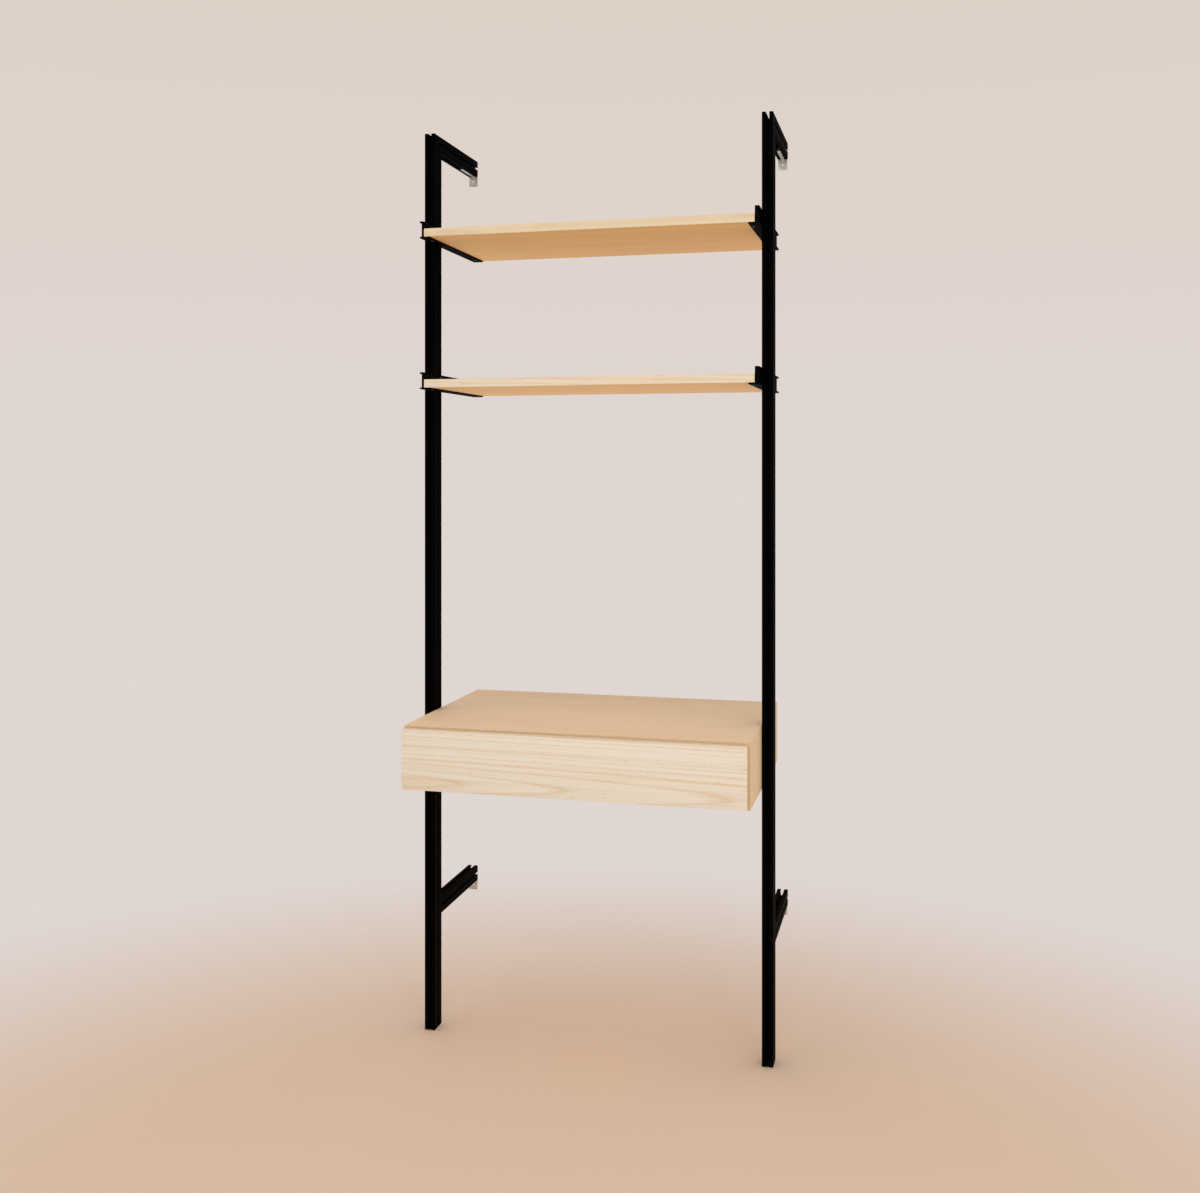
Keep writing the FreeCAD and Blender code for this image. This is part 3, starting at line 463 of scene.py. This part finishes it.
# Arms: the same black extrusion laid flat, from each post back to the wall.
# In the lower arms' slots a turned sleeve clamps a hammer-head bolt caught in the post's rear slot.
CORNERS = [level + "_" + side for level in ("upper", "lower") for side in ("left", "right")]
LEVEL_LINES = (900.0, 1.5, 900.0)
SLEEVE_RADIUS = 0.0038
SLEEVE_EDGE = 0.92
SLEEVE_CHAMFER = 0.0003
SLEEVE_RIM = 0.002
SLEEVE_SOCKET = (0.0024, 0.0028)
level_black = black_anodised("level_black_anodised", LEVEL_LINES)
for corner in CORNERS:
    finish_node(corner + "_arm", level_black)
finish_node("arm_anchor_bolts", zinc_plate)
low, high = solid_boxes("arm_anchor_sleeves")[0]
sleeve_profile = ((SLEEVE_RADIUS * SLEEVE_EDGE, 0.0), (SLEEVE_RADIUS, SLEEVE_CHAMFER),
                  (SLEEVE_RADIUS, SLEEVE_RIM))
sleeve = screw_mesh("anchor_sleeve", sleeve_profile, SLEEVE_SOCKET, SLEEVE_RADIUS, high.z - low.z)
set_fasteners("anchor_sleeves", "arm_anchor_sleeves", sleeve, 0.0, upwards,
              zinc_plate, "frame")


# Corner connectors: bare steel angles that lie in the wide slots behind each upper mitre.
# One leg runs down the post and one back along the arm, and a grub screw locks each leg.
GRUB_RADIUS = 0.0025
GRUB_MOUTH = 0.9
GRUB_EDGE = 0.98
GRUB_CHAMFER = 0.0003
GRUB_SOCKET = (0.0014, 0.0025)
ARM_SIDE_BEHIND = -0.004


def grub_mesh(name, length):
    """A headless screw with a chamfered rim round its socket."""
    profile = ((GRUB_RADIUS * GRUB_MOUTH, 0.0), (GRUB_RADIUS * GRUB_EDGE, GRUB_CHAMFER))
    return screw_mesh(name, profile, GRUB_SOCKET, GRUB_RADIUS * SHANK_PLAY, length)


def forwards(centre):
    """Towards the room, from any place."""
    return (0.0, -1.0, 0.0)


def grub_way(centre):
    """Up through the arm's slot, or forwards through the post's slot."""
    return upwards(centre) if centre.y > ARM_SIDE_BEHIND else forwards(centre)


for side in ("left", "right"):
    finish_node("upper_%s_corner_connector" % side, bare_plate)
low, high = solid_boxes("corner_grub_screws")[0]
set_fasteners("corner_grubs", "corner_grub_screws", grub_mesh("corner_grub", max(high - low)),
              0.0, grub_way, zinc_plate, "frame")


# Wall brackets: bare steel angles whose leg slides into the arm's lower slot.
# The plate hangs below the arm with one hole for the wall screw; a grub screw locks the leg.
for corner in CORNERS:
    finish_node(corner + "_wall_bracket", bare_plate)
low, high = solid_boxes("wall_bracket_grub_screws")[0]
set_fasteners("grub_screws", "wall_bracket_grub_screws", grub_mesh("grub_screw", high.z - low.z),
              0.0, upwards, zinc_plate, "frame")


# Shelf brackets: black extruded rails notched round the posts, with a foot under the shelf.
# One domed black bolt per bracket runs into a slot nut, and two screws rise through the foot.
SOCKET_BLACK = (0.010, 0.010, 0.011)
SOCKET_BLACK_WORN = (0.028, 0.027, 0.027)
OXIDE_GRAIN = (900.0, 900.0, 900.0)
OXIDE_NOISE = (3.0, 0.6)
OXIDE_ROUGHNESS = ((0.3, 0.30), (0.7, 0.45))
OXIDE_METALLIC = 0.6
OXIDE_RELIEF = 0.00003
BUTTON_RADIUS = 0.00475
BUTTON_HEIGHT = 0.00275
BUTTON_FLAT = 0.55
BUTTON_STEPS = 5
BUTTON_DOME = 0.86
BUTTON_RIM = 0.0003
BUTTON_SOCKET = (0.0017, 0.0017)
BUTTON_SHANK = 0.0025
PAN_SHARES = ((0.6, 1.0), (0.85, 0.85), (0.97, 0.5), (1.0, 0.0))
PAN_SOCKET_SHARES = (0.42, 0.65)
PAN_RADIUS = 0.0036
PAN_HEIGHT = 0.0018
PAN_SHANK = 0.0019
PAN_LENGTH = 0.0162


def button_bolt(name, node):
    """A domed bolt as long as the group's solids."""
    low, high = solid_boxes(node)[0]
    dome = [(BUTTON_RADIUS * BUTTON_FLAT, -BUTTON_HEIGHT)]
    for step in range(1, BUTTON_STEPS + 1):
        angle = math.pi / 2 * step / BUTTON_STEPS
        dome.append((BUTTON_RADIUS * (BUTTON_FLAT + (1.0 - BUTTON_FLAT) * math.sin(angle)),
                     -BUTTON_HEIGHT * math.cos(angle) * BUTTON_DOME - BUTTON_RIM))
    dome.append((BUTTON_RADIUS, 0.0))
    return screw_mesh(name, dome, BUTTON_SOCKET, BUTTON_SHANK, high.x - low.x - BUTTON_HEIGHT)


def pan_screw(name, radius, height, shank, length):
    """A wood screw with a low rounded head and a socket."""
    profile = [(radius * across, -height * up) for across, up in PAN_SHARES]
    socket = (radius * PAN_SOCKET_SHARES[0], height * PAN_SOCKET_SHARES[1])
    return screw_mesh(name, profile, socket, shank, length)


def outwards(centre):
    """Towards the nearer post, along X."""
    return (math.copysign(1.0, centre.x), 0.0, 0.0)


for corner in CORNERS:
    finish_node(corner + "_shelf_bracket", level_black)
finish_node("shelf_bracket_nuts", zinc_plate)
black_oxide, oxide_tree, oxide_surface = new_finish("black_oxide")
oxide_grain = noise(oxide_tree, stretched(oxide_tree, OXIDE_GRAIN), *OXIDE_NOISE)
oxide_tree.links.new(mixed(oxide_tree, oxide_grain, SOCKET_BLACK, SOCKET_BLACK_WORN),
                     oxide_surface.inputs["Base Color"])
oxide_tree.links.new(ramp(oxide_tree, oxide_grain, OXIDE_ROUGHNESS),
                     oxide_surface.inputs["Roughness"])
oxide_surface.inputs["Metallic"].default_value = OXIDE_METALLIC
bump(oxide_tree, oxide_surface, oxide_grain, OXIDE_RELIEF)
set_fasteners("bracket_bolts", "shelf_bracket_bolts",
              button_bolt("bracket_bolt", "shelf_bracket_bolts"),
              BUTTON_HEIGHT, outwards, black_oxide, "frame")
shelf_screw = pan_screw("shelf_screw", PAN_RADIUS, PAN_HEIGHT, PAN_SHANK, PAN_LENGTH)
set_fasteners("shelf_screws_seen", "shelf_screws", shelf_screw, PAN_HEIGHT, upwards,
              black_oxide, "frame")


# Shelves: light ash boards with eased edges, their grain along the shelf, banded at the front.
# The wood is built in three dimensions, so faces, edges and ends show the same growth rings.
# Undersides are painted more orange, as painted warm bounce light from the floor, and the upper
# shelf is the warmer of the two.
BOARD_EASE = 0.0009
EASE_STEPS = 3
EASE_CORNERS = 4
FACES_AWAY = 0.9
FACES_FRONT_AT_ALL = 0.3
FACES_SQUARE = 0.999
SHELF_WOOD = ((0.86, 0.755, 0.600), (0.70, 0.515, 0.325), (0.56, 0.370, 0.200))
ASH_END = (0.65, 0.450, 0.250)
# Each shelf's edge band colours are its own; its downward faces' colours are painted warm bounce
# light from the floor.
ASH_BAND_AND_PAINTED_BOUNCE = {"under": (0.89, 0.620, 0.285), "painted_bounce_dark": (0.72, 0.420, 0.155),
             "band": (0.83, 0.765, 0.620), "band_dark": (0.71, 0.555, 0.365)}
UPPER_BAND_AND_PAINTED_BOUNCE = {"under": (0.89, 0.585, 0.230), "painted_bounce_dark": (0.70, 0.385, 0.115),
               "band": (0.77, 0.680, 0.485), "band_dark": (0.65, 0.470, 0.265)}
SHELF_LOGS = {
    "upper": {"heart": (-0.16, 0.22), "seed": 3.1, "band_and_painted_bounce": UPPER_BAND_AND_PAINTED_BOUNCE},
    "lower": {"heart": (0.19, -0.30), "seed": 8.7, "band_and_painted_bounce": ASH_BAND_AND_PAINTED_BOUNCE},
}
SHELF_TILT = 0.03
SHELF_RING = 0.0105
LOG_WANDER = 0.030
# Noise in the wood: scales along, through and across the grain, then detail and roughness.
WOOD_NOISE = {
    "drift": ((1.7, 4.0, 4.0), 2.0, 0.45),
    "sway": ((2.6, 9.0, 7.0), 2.0, 0.5),
    "ragged": ((1.0, 110.0, 110.0), 3.0, 0.55),
    "fibre": ((10.0, 620.0, 620.0), 3.0, 0.6),
    "streak": ((0.5, 150.0, 150.0), 3.0, 0.62),
    "tone": ((1.3, 14.0, 14.0), 3.0, 0.5),
    "patch": ((1.1, 40.0, 40.0), 2.0, 0.5),
    "pore": ((60.0, 1700.0, 1700.0), 2.0, 0.5),
    "speckle": ((700.0, 700.0, 700.0), 2.0, 0.6),
}
SWAY_SHARE = 0.8
GROWTH_NOISE = (2.0, 0.6)
GROWTH_SCALE = 70.0
GROWTH_SHARE = 2.6
RAGGED_SHARE = 0.40
LATE_WOOD = ((0.0, 0.95), (0.08, 0.50), (0.24, 0.14), (0.68, 0.04), (0.91, 0.50), (1.0, 0.95))
EARLY_WOOD = ((0.0, 0.2), (0.06, 1.0), (0.30, 0.75), (0.42, 0.1))
PORE_CUT = ((0.56, 0.0), (0.66, 1.0))
PATCH_STRENGTH = ((0.30, 0.45), (0.66, 1.0))
YEAR_STRENGTH = ((0.0, 0.55), (1.0, 1.0))
LINE_STRENGTH = 1.1
STREAK_SHARE = 1.25
FIBRE_SHARE = 0.50
TONE_SHARE = 0.70
TONE_MIDDLE = 0.42
PORE_SHARE = 0.55
END_SPECKLE = ((0.42, 0.95), (0.66, 0.35))
ARRIS_WEAR = ((0.40, 0.05), (0.65, 0.55))
WOOD_ROUGHNESS = ((0.25, 0.46), (0.75, 0.60))
WOOD_SPECULAR = 0.22
FIBRE_RELIEF = 0.35
LATE_RELIEF = 0.5
WOOD_RELIEF = 0.00012


def calc(tree, operation, first, second):
    """One step of arithmetic on sockets or plain values."""
    return add(tree, "ShaderNodeMath", first, second, operation=operation).outputs[0]


def swing(tree, wave, amount, middle=0.5):
    """A wave's distance from its middle, times an amount."""
    return calc(tree, "MULTIPLY", calc(tree, "ADD", wave, -middle), amount)


def growth_phase(tree, place, waves, pith, tilt, ring, wander):
    """Rings counted outwards from the log's heart: the whole part is the year."""
    along, through, across = place
    depth = calc(tree, "ADD", through, -pith[0])
    depth = calc(tree, "ADD", depth, swing(tree, waves["drift"], wander))
    depth = calc(tree, "ADD", depth, calc(tree, "MULTIPLY", along, tilt))
    side = calc(tree, "ADD", calc(tree, "ADD", across, -pith[1]),
                swing(tree, waves["sway"], wander * SWAY_SHARE))
    squares = calc(tree, "ADD", calc(tree, "MULTIPLY", depth, depth),
                   calc(tree, "MULTIPLY", side, side))
    radius = calc(tree, "POWER", squares, 0.5)
    outward = add(tree, "ShaderNodeCombineXYZ", calc(tree, "MULTIPLY", radius, GROWTH_SCALE),
                  0.0, 0.0).outputs[0]
    growth = noise(tree, outward, *GROWTH_NOISE)
    phase = calc(tree, "ADD", calc(tree, "MULTIPLY", radius, 1.0 / ring),
                 calc(tree, "MULTIPLY", waves["ragged"], RAGGED_SHARE))
    return calc(tree, "ADD", phase, calc(tree, "MULTIPLY", growth, GROWTH_SHARE))


def wood(name, order, colours, pith, tilt, ring, seed, wander=LOG_WANDER, band_and_painted_bounce=ASH_BAND_AND_PAINTED_BOUNCE):
    """A board cut from a log: order names the axes along, through and across the grain.

    The colours are the pale wood, the dark late wood and the pores. Pith is where the log's
    heart lies through and across the board, tilt how fast it drifts along it, wander how far
    it strays, and ring the width of a growth ring. The last argument holds the edge band's
    colours and the painted warm bounce light for downward faces.
    """
    pale, dark, pore = colours
    material, tree, surface = new_finish(name)
    axes = add(tree, "ShaderNodeSeparateXYZ",
               add(tree, "ShaderNodeTexCoord").outputs["Object"]).outputs
    along, through, across = [axes["XYZ".index(letter)] for letter in order]
    shifted = calc(tree, "ADD", along, seed)
    grain = add(tree, "ShaderNodeCombineXYZ", shifted, through, across).outputs[0]
    waves = {}
    for key, (scales, detail, roughness) in WOOD_NOISE.items():
        scaled = add(tree, "ShaderNodeVectorMath", grain, scales, operation="MULTIPLY").outputs[0]
        waves[key] = noise(tree, scaled, detail, roughness)
    marks = {key: add(tree, "ShaderNodeAttribute", attribute_name=key).outputs["Fac"]
             for key in ("end_grain", "edge_band", "underside", "arris")}

    phase = growth_phase(tree, (along, through, across), waves, pith, tilt, ring, wander)
    within = add(tree, "ShaderNodeMath", phase, operation="FRACT").outputs[0]
    year = add(tree, "ShaderNodeMath", phase, operation="FLOOR").outputs[0]
    yearly = add(tree, "ShaderNodeTexWhiteNoise", noise_dimensions="1D")
    tree.links.new(year, yearly.inputs["W"])
    late = ramp(tree, within, LATE_WOOD)
    early = ramp(tree, within, EARLY_WOOD)
    pores = calc(tree, "MULTIPLY", ramp(tree, waves["pore"], PORE_CUT), early)
    strength = calc(tree, "MULTIPLY", ramp(tree, waves["patch"], PATCH_STRENGTH),
                    ramp(tree, yearly.outputs["Value"], YEAR_STRENGTH))
    line = calc(tree, "MULTIPLY", late, calc(tree, "MULTIPLY", strength, LINE_STRENGTH))
    line = calc(tree, "ADD", line, swing(tree, waves["streak"], STREAK_SHARE))
    line = calc(tree, "ADD", line, swing(tree, waves["fibre"], FIBRE_SHARE))
    line = calc(tree, "ADD", line, swing(tree, waves["tone"], TONE_SHARE, TONE_MIDDLE))
    line = add(tree, "ShaderNodeClamp", line).outputs[0]

    ground = mixed(tree, marks["edge_band"], pale, band_and_painted_bounce["band"])
    # Downward faces take painted warm bounce light from the floor, in ground and figure alike.
    ground = mixed(tree, marks["underside"], ground, band_and_painted_bounce["under"])
    figure = mixed(tree, marks["edge_band"], dark, band_and_painted_bounce["band_dark"])
    figure = mixed(tree, marks["underside"], figure, band_and_painted_bounce["painted_bounce_dark"])
    colour = mixed(tree, line, ground, figure)
    colour = mixed(tree, calc(tree, "MULTIPLY", pores, PORE_SHARE), colour, pore)
    cut_end = calc(tree, "MULTIPLY", marks["end_grain"], ramp(tree, waves["speckle"], END_SPECKLE))
    colour = mixed(tree, cut_end, colour, ASH_END)
    worn = calc(tree, "MULTIPLY", marks["arris"], ramp(tree, waves["tone"], ARRIS_WEAR))
    colour = mixed(tree, worn, colour, dark)
    tree.links.new(colour, surface.inputs["Base Color"])
    tree.links.new(ramp(tree, waves["fibre"], WOOD_ROUGHNESS), surface.inputs["Roughness"])
    surface.inputs["Specular IOR Level"].default_value = WOOD_SPECULAR
    relief = calc(tree, "SUBTRACT", calc(tree, "MULTIPLY", waves["fibre"], FIBRE_RELIEF), pores)
    relief = calc(tree, "ADD", relief, calc(tree, "MULTIPLY", late, LATE_RELIEF))
    bump(tree, surface, relief, WOOD_RELIEF)
    return material


def mark_faces(mesh, grain_axis, front_edge):
    """Record faces that cut across the grain, carry the edge band, look down (for painted bounce
    light) or ease an edge.
    """
    for key in ("end_grain", "edge_band", "underside", "arris"):
        mesh.attributes.new(key, "FLOAT", "FACE")
    across = "XYZ".index(grain_axis)
    for face in mesh.polygons:
        sawn = front_edge == "raw" and face.normal.y < -FACES_AWAY
        flat = max(abs(part) for part in face.normal) > FACES_SQUARE
        marks = {
            "end_grain": sawn or abs(face.normal[across]) > FACES_AWAY,
            "edge_band": front_edge == "band" and face.normal.y < -FACES_FRONT_AT_ALL,
            # Downward faces, where the painted bounce light goes.
            "underside": face.normal.z < -FACES_AWAY,
            "arris": not flat and len(face.vertices) <= EASE_CORNERS,
        }
        for key, marked in marks.items():
            mesh.attributes[key].data[face.index].value = float(marked)


def board(name, outline, axis, ends, ease, material, body, node, grain="X", front_edge=""):
    """A board from an outline drawn across the X or Y axis, with its edges eased round."""
    work = bmesh.new()

    def spot(point, along):
        return (along, *point) if axis == "X" else (point[0], along, point[1])

    near, far = [[work.verts.new(spot(point, end)) for point in outline] for end in ends]
    work.faces.new(near)
    work.faces.new(far[::-1])
    for i in range(len(outline)):
        j = (i + 1) % len(outline)
        work.faces.new((near[i], far[i], far[j], near[j]))
    bmesh.ops.recalc_face_normals(work, faces=work.faces)
    bmesh.ops.bevel(work, geom=list(work.edges), offset=ease, segments=EASE_STEPS, profile=0.5,
                    affect="EDGES")
    mesh = bpy.data.meshes.new(name)
    work.to_mesh(mesh)
    work.free()
    mark_faces(mesh, grain, front_edge)
    mesh.shade_smooth()
    mesh.set_sharp_from_angle(angle=SHARP_ANGLE)
    mesh.materials.append(material)
    stand_in(bpy.data.objects.new(name, mesh), body, node)


def box_outline(low, high, first, second):
    """The rectangle of a box seen along the remaining axis."""
    return [(low[first], low[second]), (high[first], low[second]),
            (high[first], high[second]), (low[first], high[second])]


for level, log in SHELF_LOGS.items():
    low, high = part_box(level + "_shelf")
    heart = ((low.z + high.z) / 2 + log["heart"][0], (low.y + high.y) / 2 + log["heart"][1])
    shelf_ash = wood(level + "_shelf_ash", "XZY", SHELF_WOOD, heart, SHELF_TILT, SHELF_RING,
                     log["seed"], band_and_painted_bounce=log["band_and_painted_bounce"])
    board(level + "_shelf_board", box_outline(low, high, 1, 2), "X", (low.x, high.x), BOARD_EASE,
          shelf_ash, "frame", level + "_shelf", front_edge="band")


# Desk case: four ash boards mitred at their long edges, and a back board between them.
# Their front edges are sawn and raw. The top's grain runs along the wall, the sides' upright.
# Domed bolts through the sides run into slot nuts in the posts.
MITRE_EASE = 0.0006
TOP_WOOD = ((0.86, 0.760, 0.600), (0.73, 0.560, 0.370), (0.56, 0.370, 0.200))
# The case's sides, bottom and back take the top's ash painted darker and more orange: painted
# shade, for faces that catch less light than the top.
CASE_WOOD_PAINTED_SHADE = ((0.81, 0.650, 0.430), (0.68, 0.470, 0.260), (0.56, 0.370, 0.200))
TOP_LOG = {"tilt": 0.02, "ring": 0.0070, "seed": 14.2}
TOP_HEART = (-0.21, 0.33)
BOTTOM_LOG = {"tilt": -0.02, "ring": 0.0062, "seed": 21.0}
BOTTOM_HEART = (0.18, -0.25)
SIDE_LOG = {"tilt": 0.02, "ring": 0.0060}
SIDE_HEART = (-0.20, 0.30)
BACK_LOG = {"pith": (0.55, 0.55), "tilt": 0.02, "ring": 0.0065, "seed": 30.3}
SIDE_SEEDS = (("left", -1.0, 5.5), ("right", 1.0, 9.4))
top_low, top_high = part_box("desk_top")
bottom_low, bottom_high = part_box("desk_bottom")
thickness = top_high.z - top_low.z
case_half = top_high.x
case_depth = (top_low.y, top_high.y)
top_ash = wood("desk_top_ash", "XZY", TOP_WOOD,
               (top_high.z + TOP_HEART[0], TOP_HEART[1]), **TOP_LOG)
board("desk_top_board",
      [(-case_half, top_high.z), (-case_half + thickness, top_low.z),
       (case_half - thickness, top_low.z), (case_half, top_high.z)],
      "Y", case_depth, MITRE_EASE, top_ash, "frame", "desk_top", front_edge="raw")
bottom_ash = wood("desk_bottom_ash", "XZY", CASE_WOOD_PAINTED_SHADE,
                  (bottom_low.z + BOTTOM_HEART[0], BOTTOM_HEART[1]), **BOTTOM_LOG)
board("desk_bottom_board",
      [(-case_half, bottom_low.z), (case_half, bottom_low.z),
       (case_half - thickness, bottom_high.z), (-case_half + thickness, bottom_high.z)],
      "Y", (bottom_low.y, bottom_high.y), MITRE_EASE, bottom_ash,
      "frame", "desk_bottom", front_edge="raw")
for side, sign, seed in SIDE_SEEDS:
    side_ash = wood("desk_%s_side_ash" % side, "ZXY", CASE_WOOD_PAINTED_SHADE,
                    (sign * (case_half + SIDE_HEART[0]), SIDE_HEART[1]), seed=seed, **SIDE_LOG)
    outer, inner = sign * case_half, sign * (case_half - thickness)
    board("desk_%s_board" % side,
          [(outer, bottom_low.z), (outer, top_high.z), (inner, top_low.z), (inner, bottom_high.z)],
          "Y", case_depth, MITRE_EASE, side_ash,
          "frame", "desk_%s_side" % side, "Z", "raw")
finish_node("desk_back", wood("desk_back_ash", "XYZ", CASE_WOOD_PAINTED_SHADE, **BACK_LOG))
set_fasteners("desk_bolts", "desk_mounting_bolts", button_bolt("desk_bolt", "desk_mounting_bolts"),
              BUTTON_HEIGHT, outwards, black_oxide, "frame")
finish_node("desk_mounting_nuts", zinc_plate)


# Drawer slides: rolled steel channels, zinc plated, three in one another each side of the drawer.
# The middle channel runs out half as far as the drawer. Low screws hold them to case and drawer.
SLIDE_LINES = (1200.0, 6.0, 1200.0)
SLIDE_METAL = (0.66, 0.67, 0.69)
SLIDE_METAL_DULL = (0.48, 0.485, 0.50)
SLIDE_ROUGHNESS = (0.20, 0.36)
SLIDE_HEAD = 0.0034
SLIDE_HEAD_HEIGHT = 0.001
SLIDE_SHANK = 0.0019
CASE_SCREW_LENGTH = 0.0142
DRAWER_SCREW_LENGTH = 0.0112


def inwards(centre):
    """Away from the nearer post, along X."""
    return -Vector(outwards(centre))


slide_steel = bare_metal("slide_steel", SLIDE_LINES, SLIDE_METAL, SLIDE_METAL_DULL,
                         SLIDE_ROUGHNESS)
for side in ("left", "right"):
    for member in ("outer", "middle", "inner"):
        finish_node("%s_slide_%s" % (side, member), slide_steel)
case_screw = pan_screw("case_screw", SLIDE_HEAD, SLIDE_HEAD_HEIGHT, SLIDE_SHANK, CASE_SCREW_LENGTH)
set_fasteners("case_screws", "slide_case_screws", case_screw, SLIDE_HEAD_HEIGHT, outwards,
              zinc_plate, "frame")
drawer_screw = pan_screw("drawer_screw", SLIDE_HEAD, SLIDE_HEAD_HEIGHT, SLIDE_SHANK,
                         DRAWER_SCREW_LENGTH)
set_fasteners("drawer_side_screws", "slide_drawer_screws", drawer_screw, SLIDE_HEAD_HEIGHT, inwards,
              zinc_plate, "drawer")


# Drawer: a finger-jointed birch box behind a plain ash front with a long cathedral figure.
# The front has no handle: it stands a few millimetres off the case and opens with a push.
# Four screws from inside the box hold the front.
BIRCH = ((0.76, 0.61, 0.42), (0.62, 0.46, 0.29), (0.50, 0.36, 0.22))
BIRCH_LOG = {"tilt": 0.03, "ring": 0.0050}
BOX_SIDE_HEART = (0.3, 0.2)
BOX_SIDE_SEEDS = (("left", 2.0), ("right", 12.0))
BOX_END_HEART = (-0.28, -0.2)
BOX_END_SEEDS = (("front", 4.0), ("back", 17.0))
PLY_LOG = {"tilt": 0.06, "ring": 0.0070, "seed": 25.0}
PLY_HEART = (-0.09, 0.05)
# The front's wood is painted paler and cooler than the case's: painted cool frontal light on the
# front.
FRONT_WOOD_PAINTED_LIGHT = ((0.83, 0.810, 0.720), (0.74, 0.590, 0.385), (0.56, 0.370, 0.200))
FRONT_LOG = {"tilt": -0.026, "ring": 0.0088, "seed": 2.9, "wander": 0.008}
FRONT_HEART_BEHIND = 0.0200
FRONT_HEART_ABOVE = 0.021
FRONT_SCREW_HEAD = 0.004
FRONT_SCREW_HEIGHT = 0.0022
FRONT_SCREW_SHANK = 0.002
FRONT_SCREW_LENGTH = 0.0267
low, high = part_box("drawer_front")
front_ash = wood("drawer_front_ash", "XYZ", FRONT_WOOD_PAINTED_LIGHT,
                 (high.y + FRONT_HEART_BEHIND, low.z + FRONT_HEART_ABOVE), **FRONT_LOG)
board("drawer_front_board", box_outline(low, high, 0, 2), "Y", (low.y, high.y), BOARD_EASE,
      front_ash, "drawer", "drawer_front")
for side, seed in BOX_SIDE_SEEDS:
    low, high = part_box("drawer_%s_side" % side)
    heart = (low.x + BOX_SIDE_HEART[0], high.z + BOX_SIDE_HEART[1])
    finish_node("drawer_%s_side" % side,
                wood("drawer_%s_side_birch" % side, "YXZ", BIRCH, heart, seed=seed, **BIRCH_LOG))
for end, seed in BOX_END_SEEDS:
    low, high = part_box("drawer_box_" + end)
    heart = (low.y + BOX_END_HEART[0], low.z + BOX_END_HEART[1])
    finish_node("drawer_box_" + end,
                wood("drawer_box_%s_birch" % end, "XYZ", BIRCH, heart, seed=seed, **BIRCH_LOG))
low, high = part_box("drawer_bottom")
finish_node("drawer_bottom",
            wood("drawer_bottom_birch", "XZY", BIRCH, (low.z + PLY_HEART[0], PLY_HEART[1]),
                 **PLY_LOG))
front_screw = pan_screw("front_screw", FRONT_SCREW_HEAD, FRONT_SCREW_HEIGHT, FRONT_SCREW_SHANK,
                        FRONT_SCREW_LENGTH)
set_fasteners("front_screws", "drawer_front_screws", front_screw, FRONT_SCREW_HEIGHT, forwards,
              zinc_plate, "drawer")
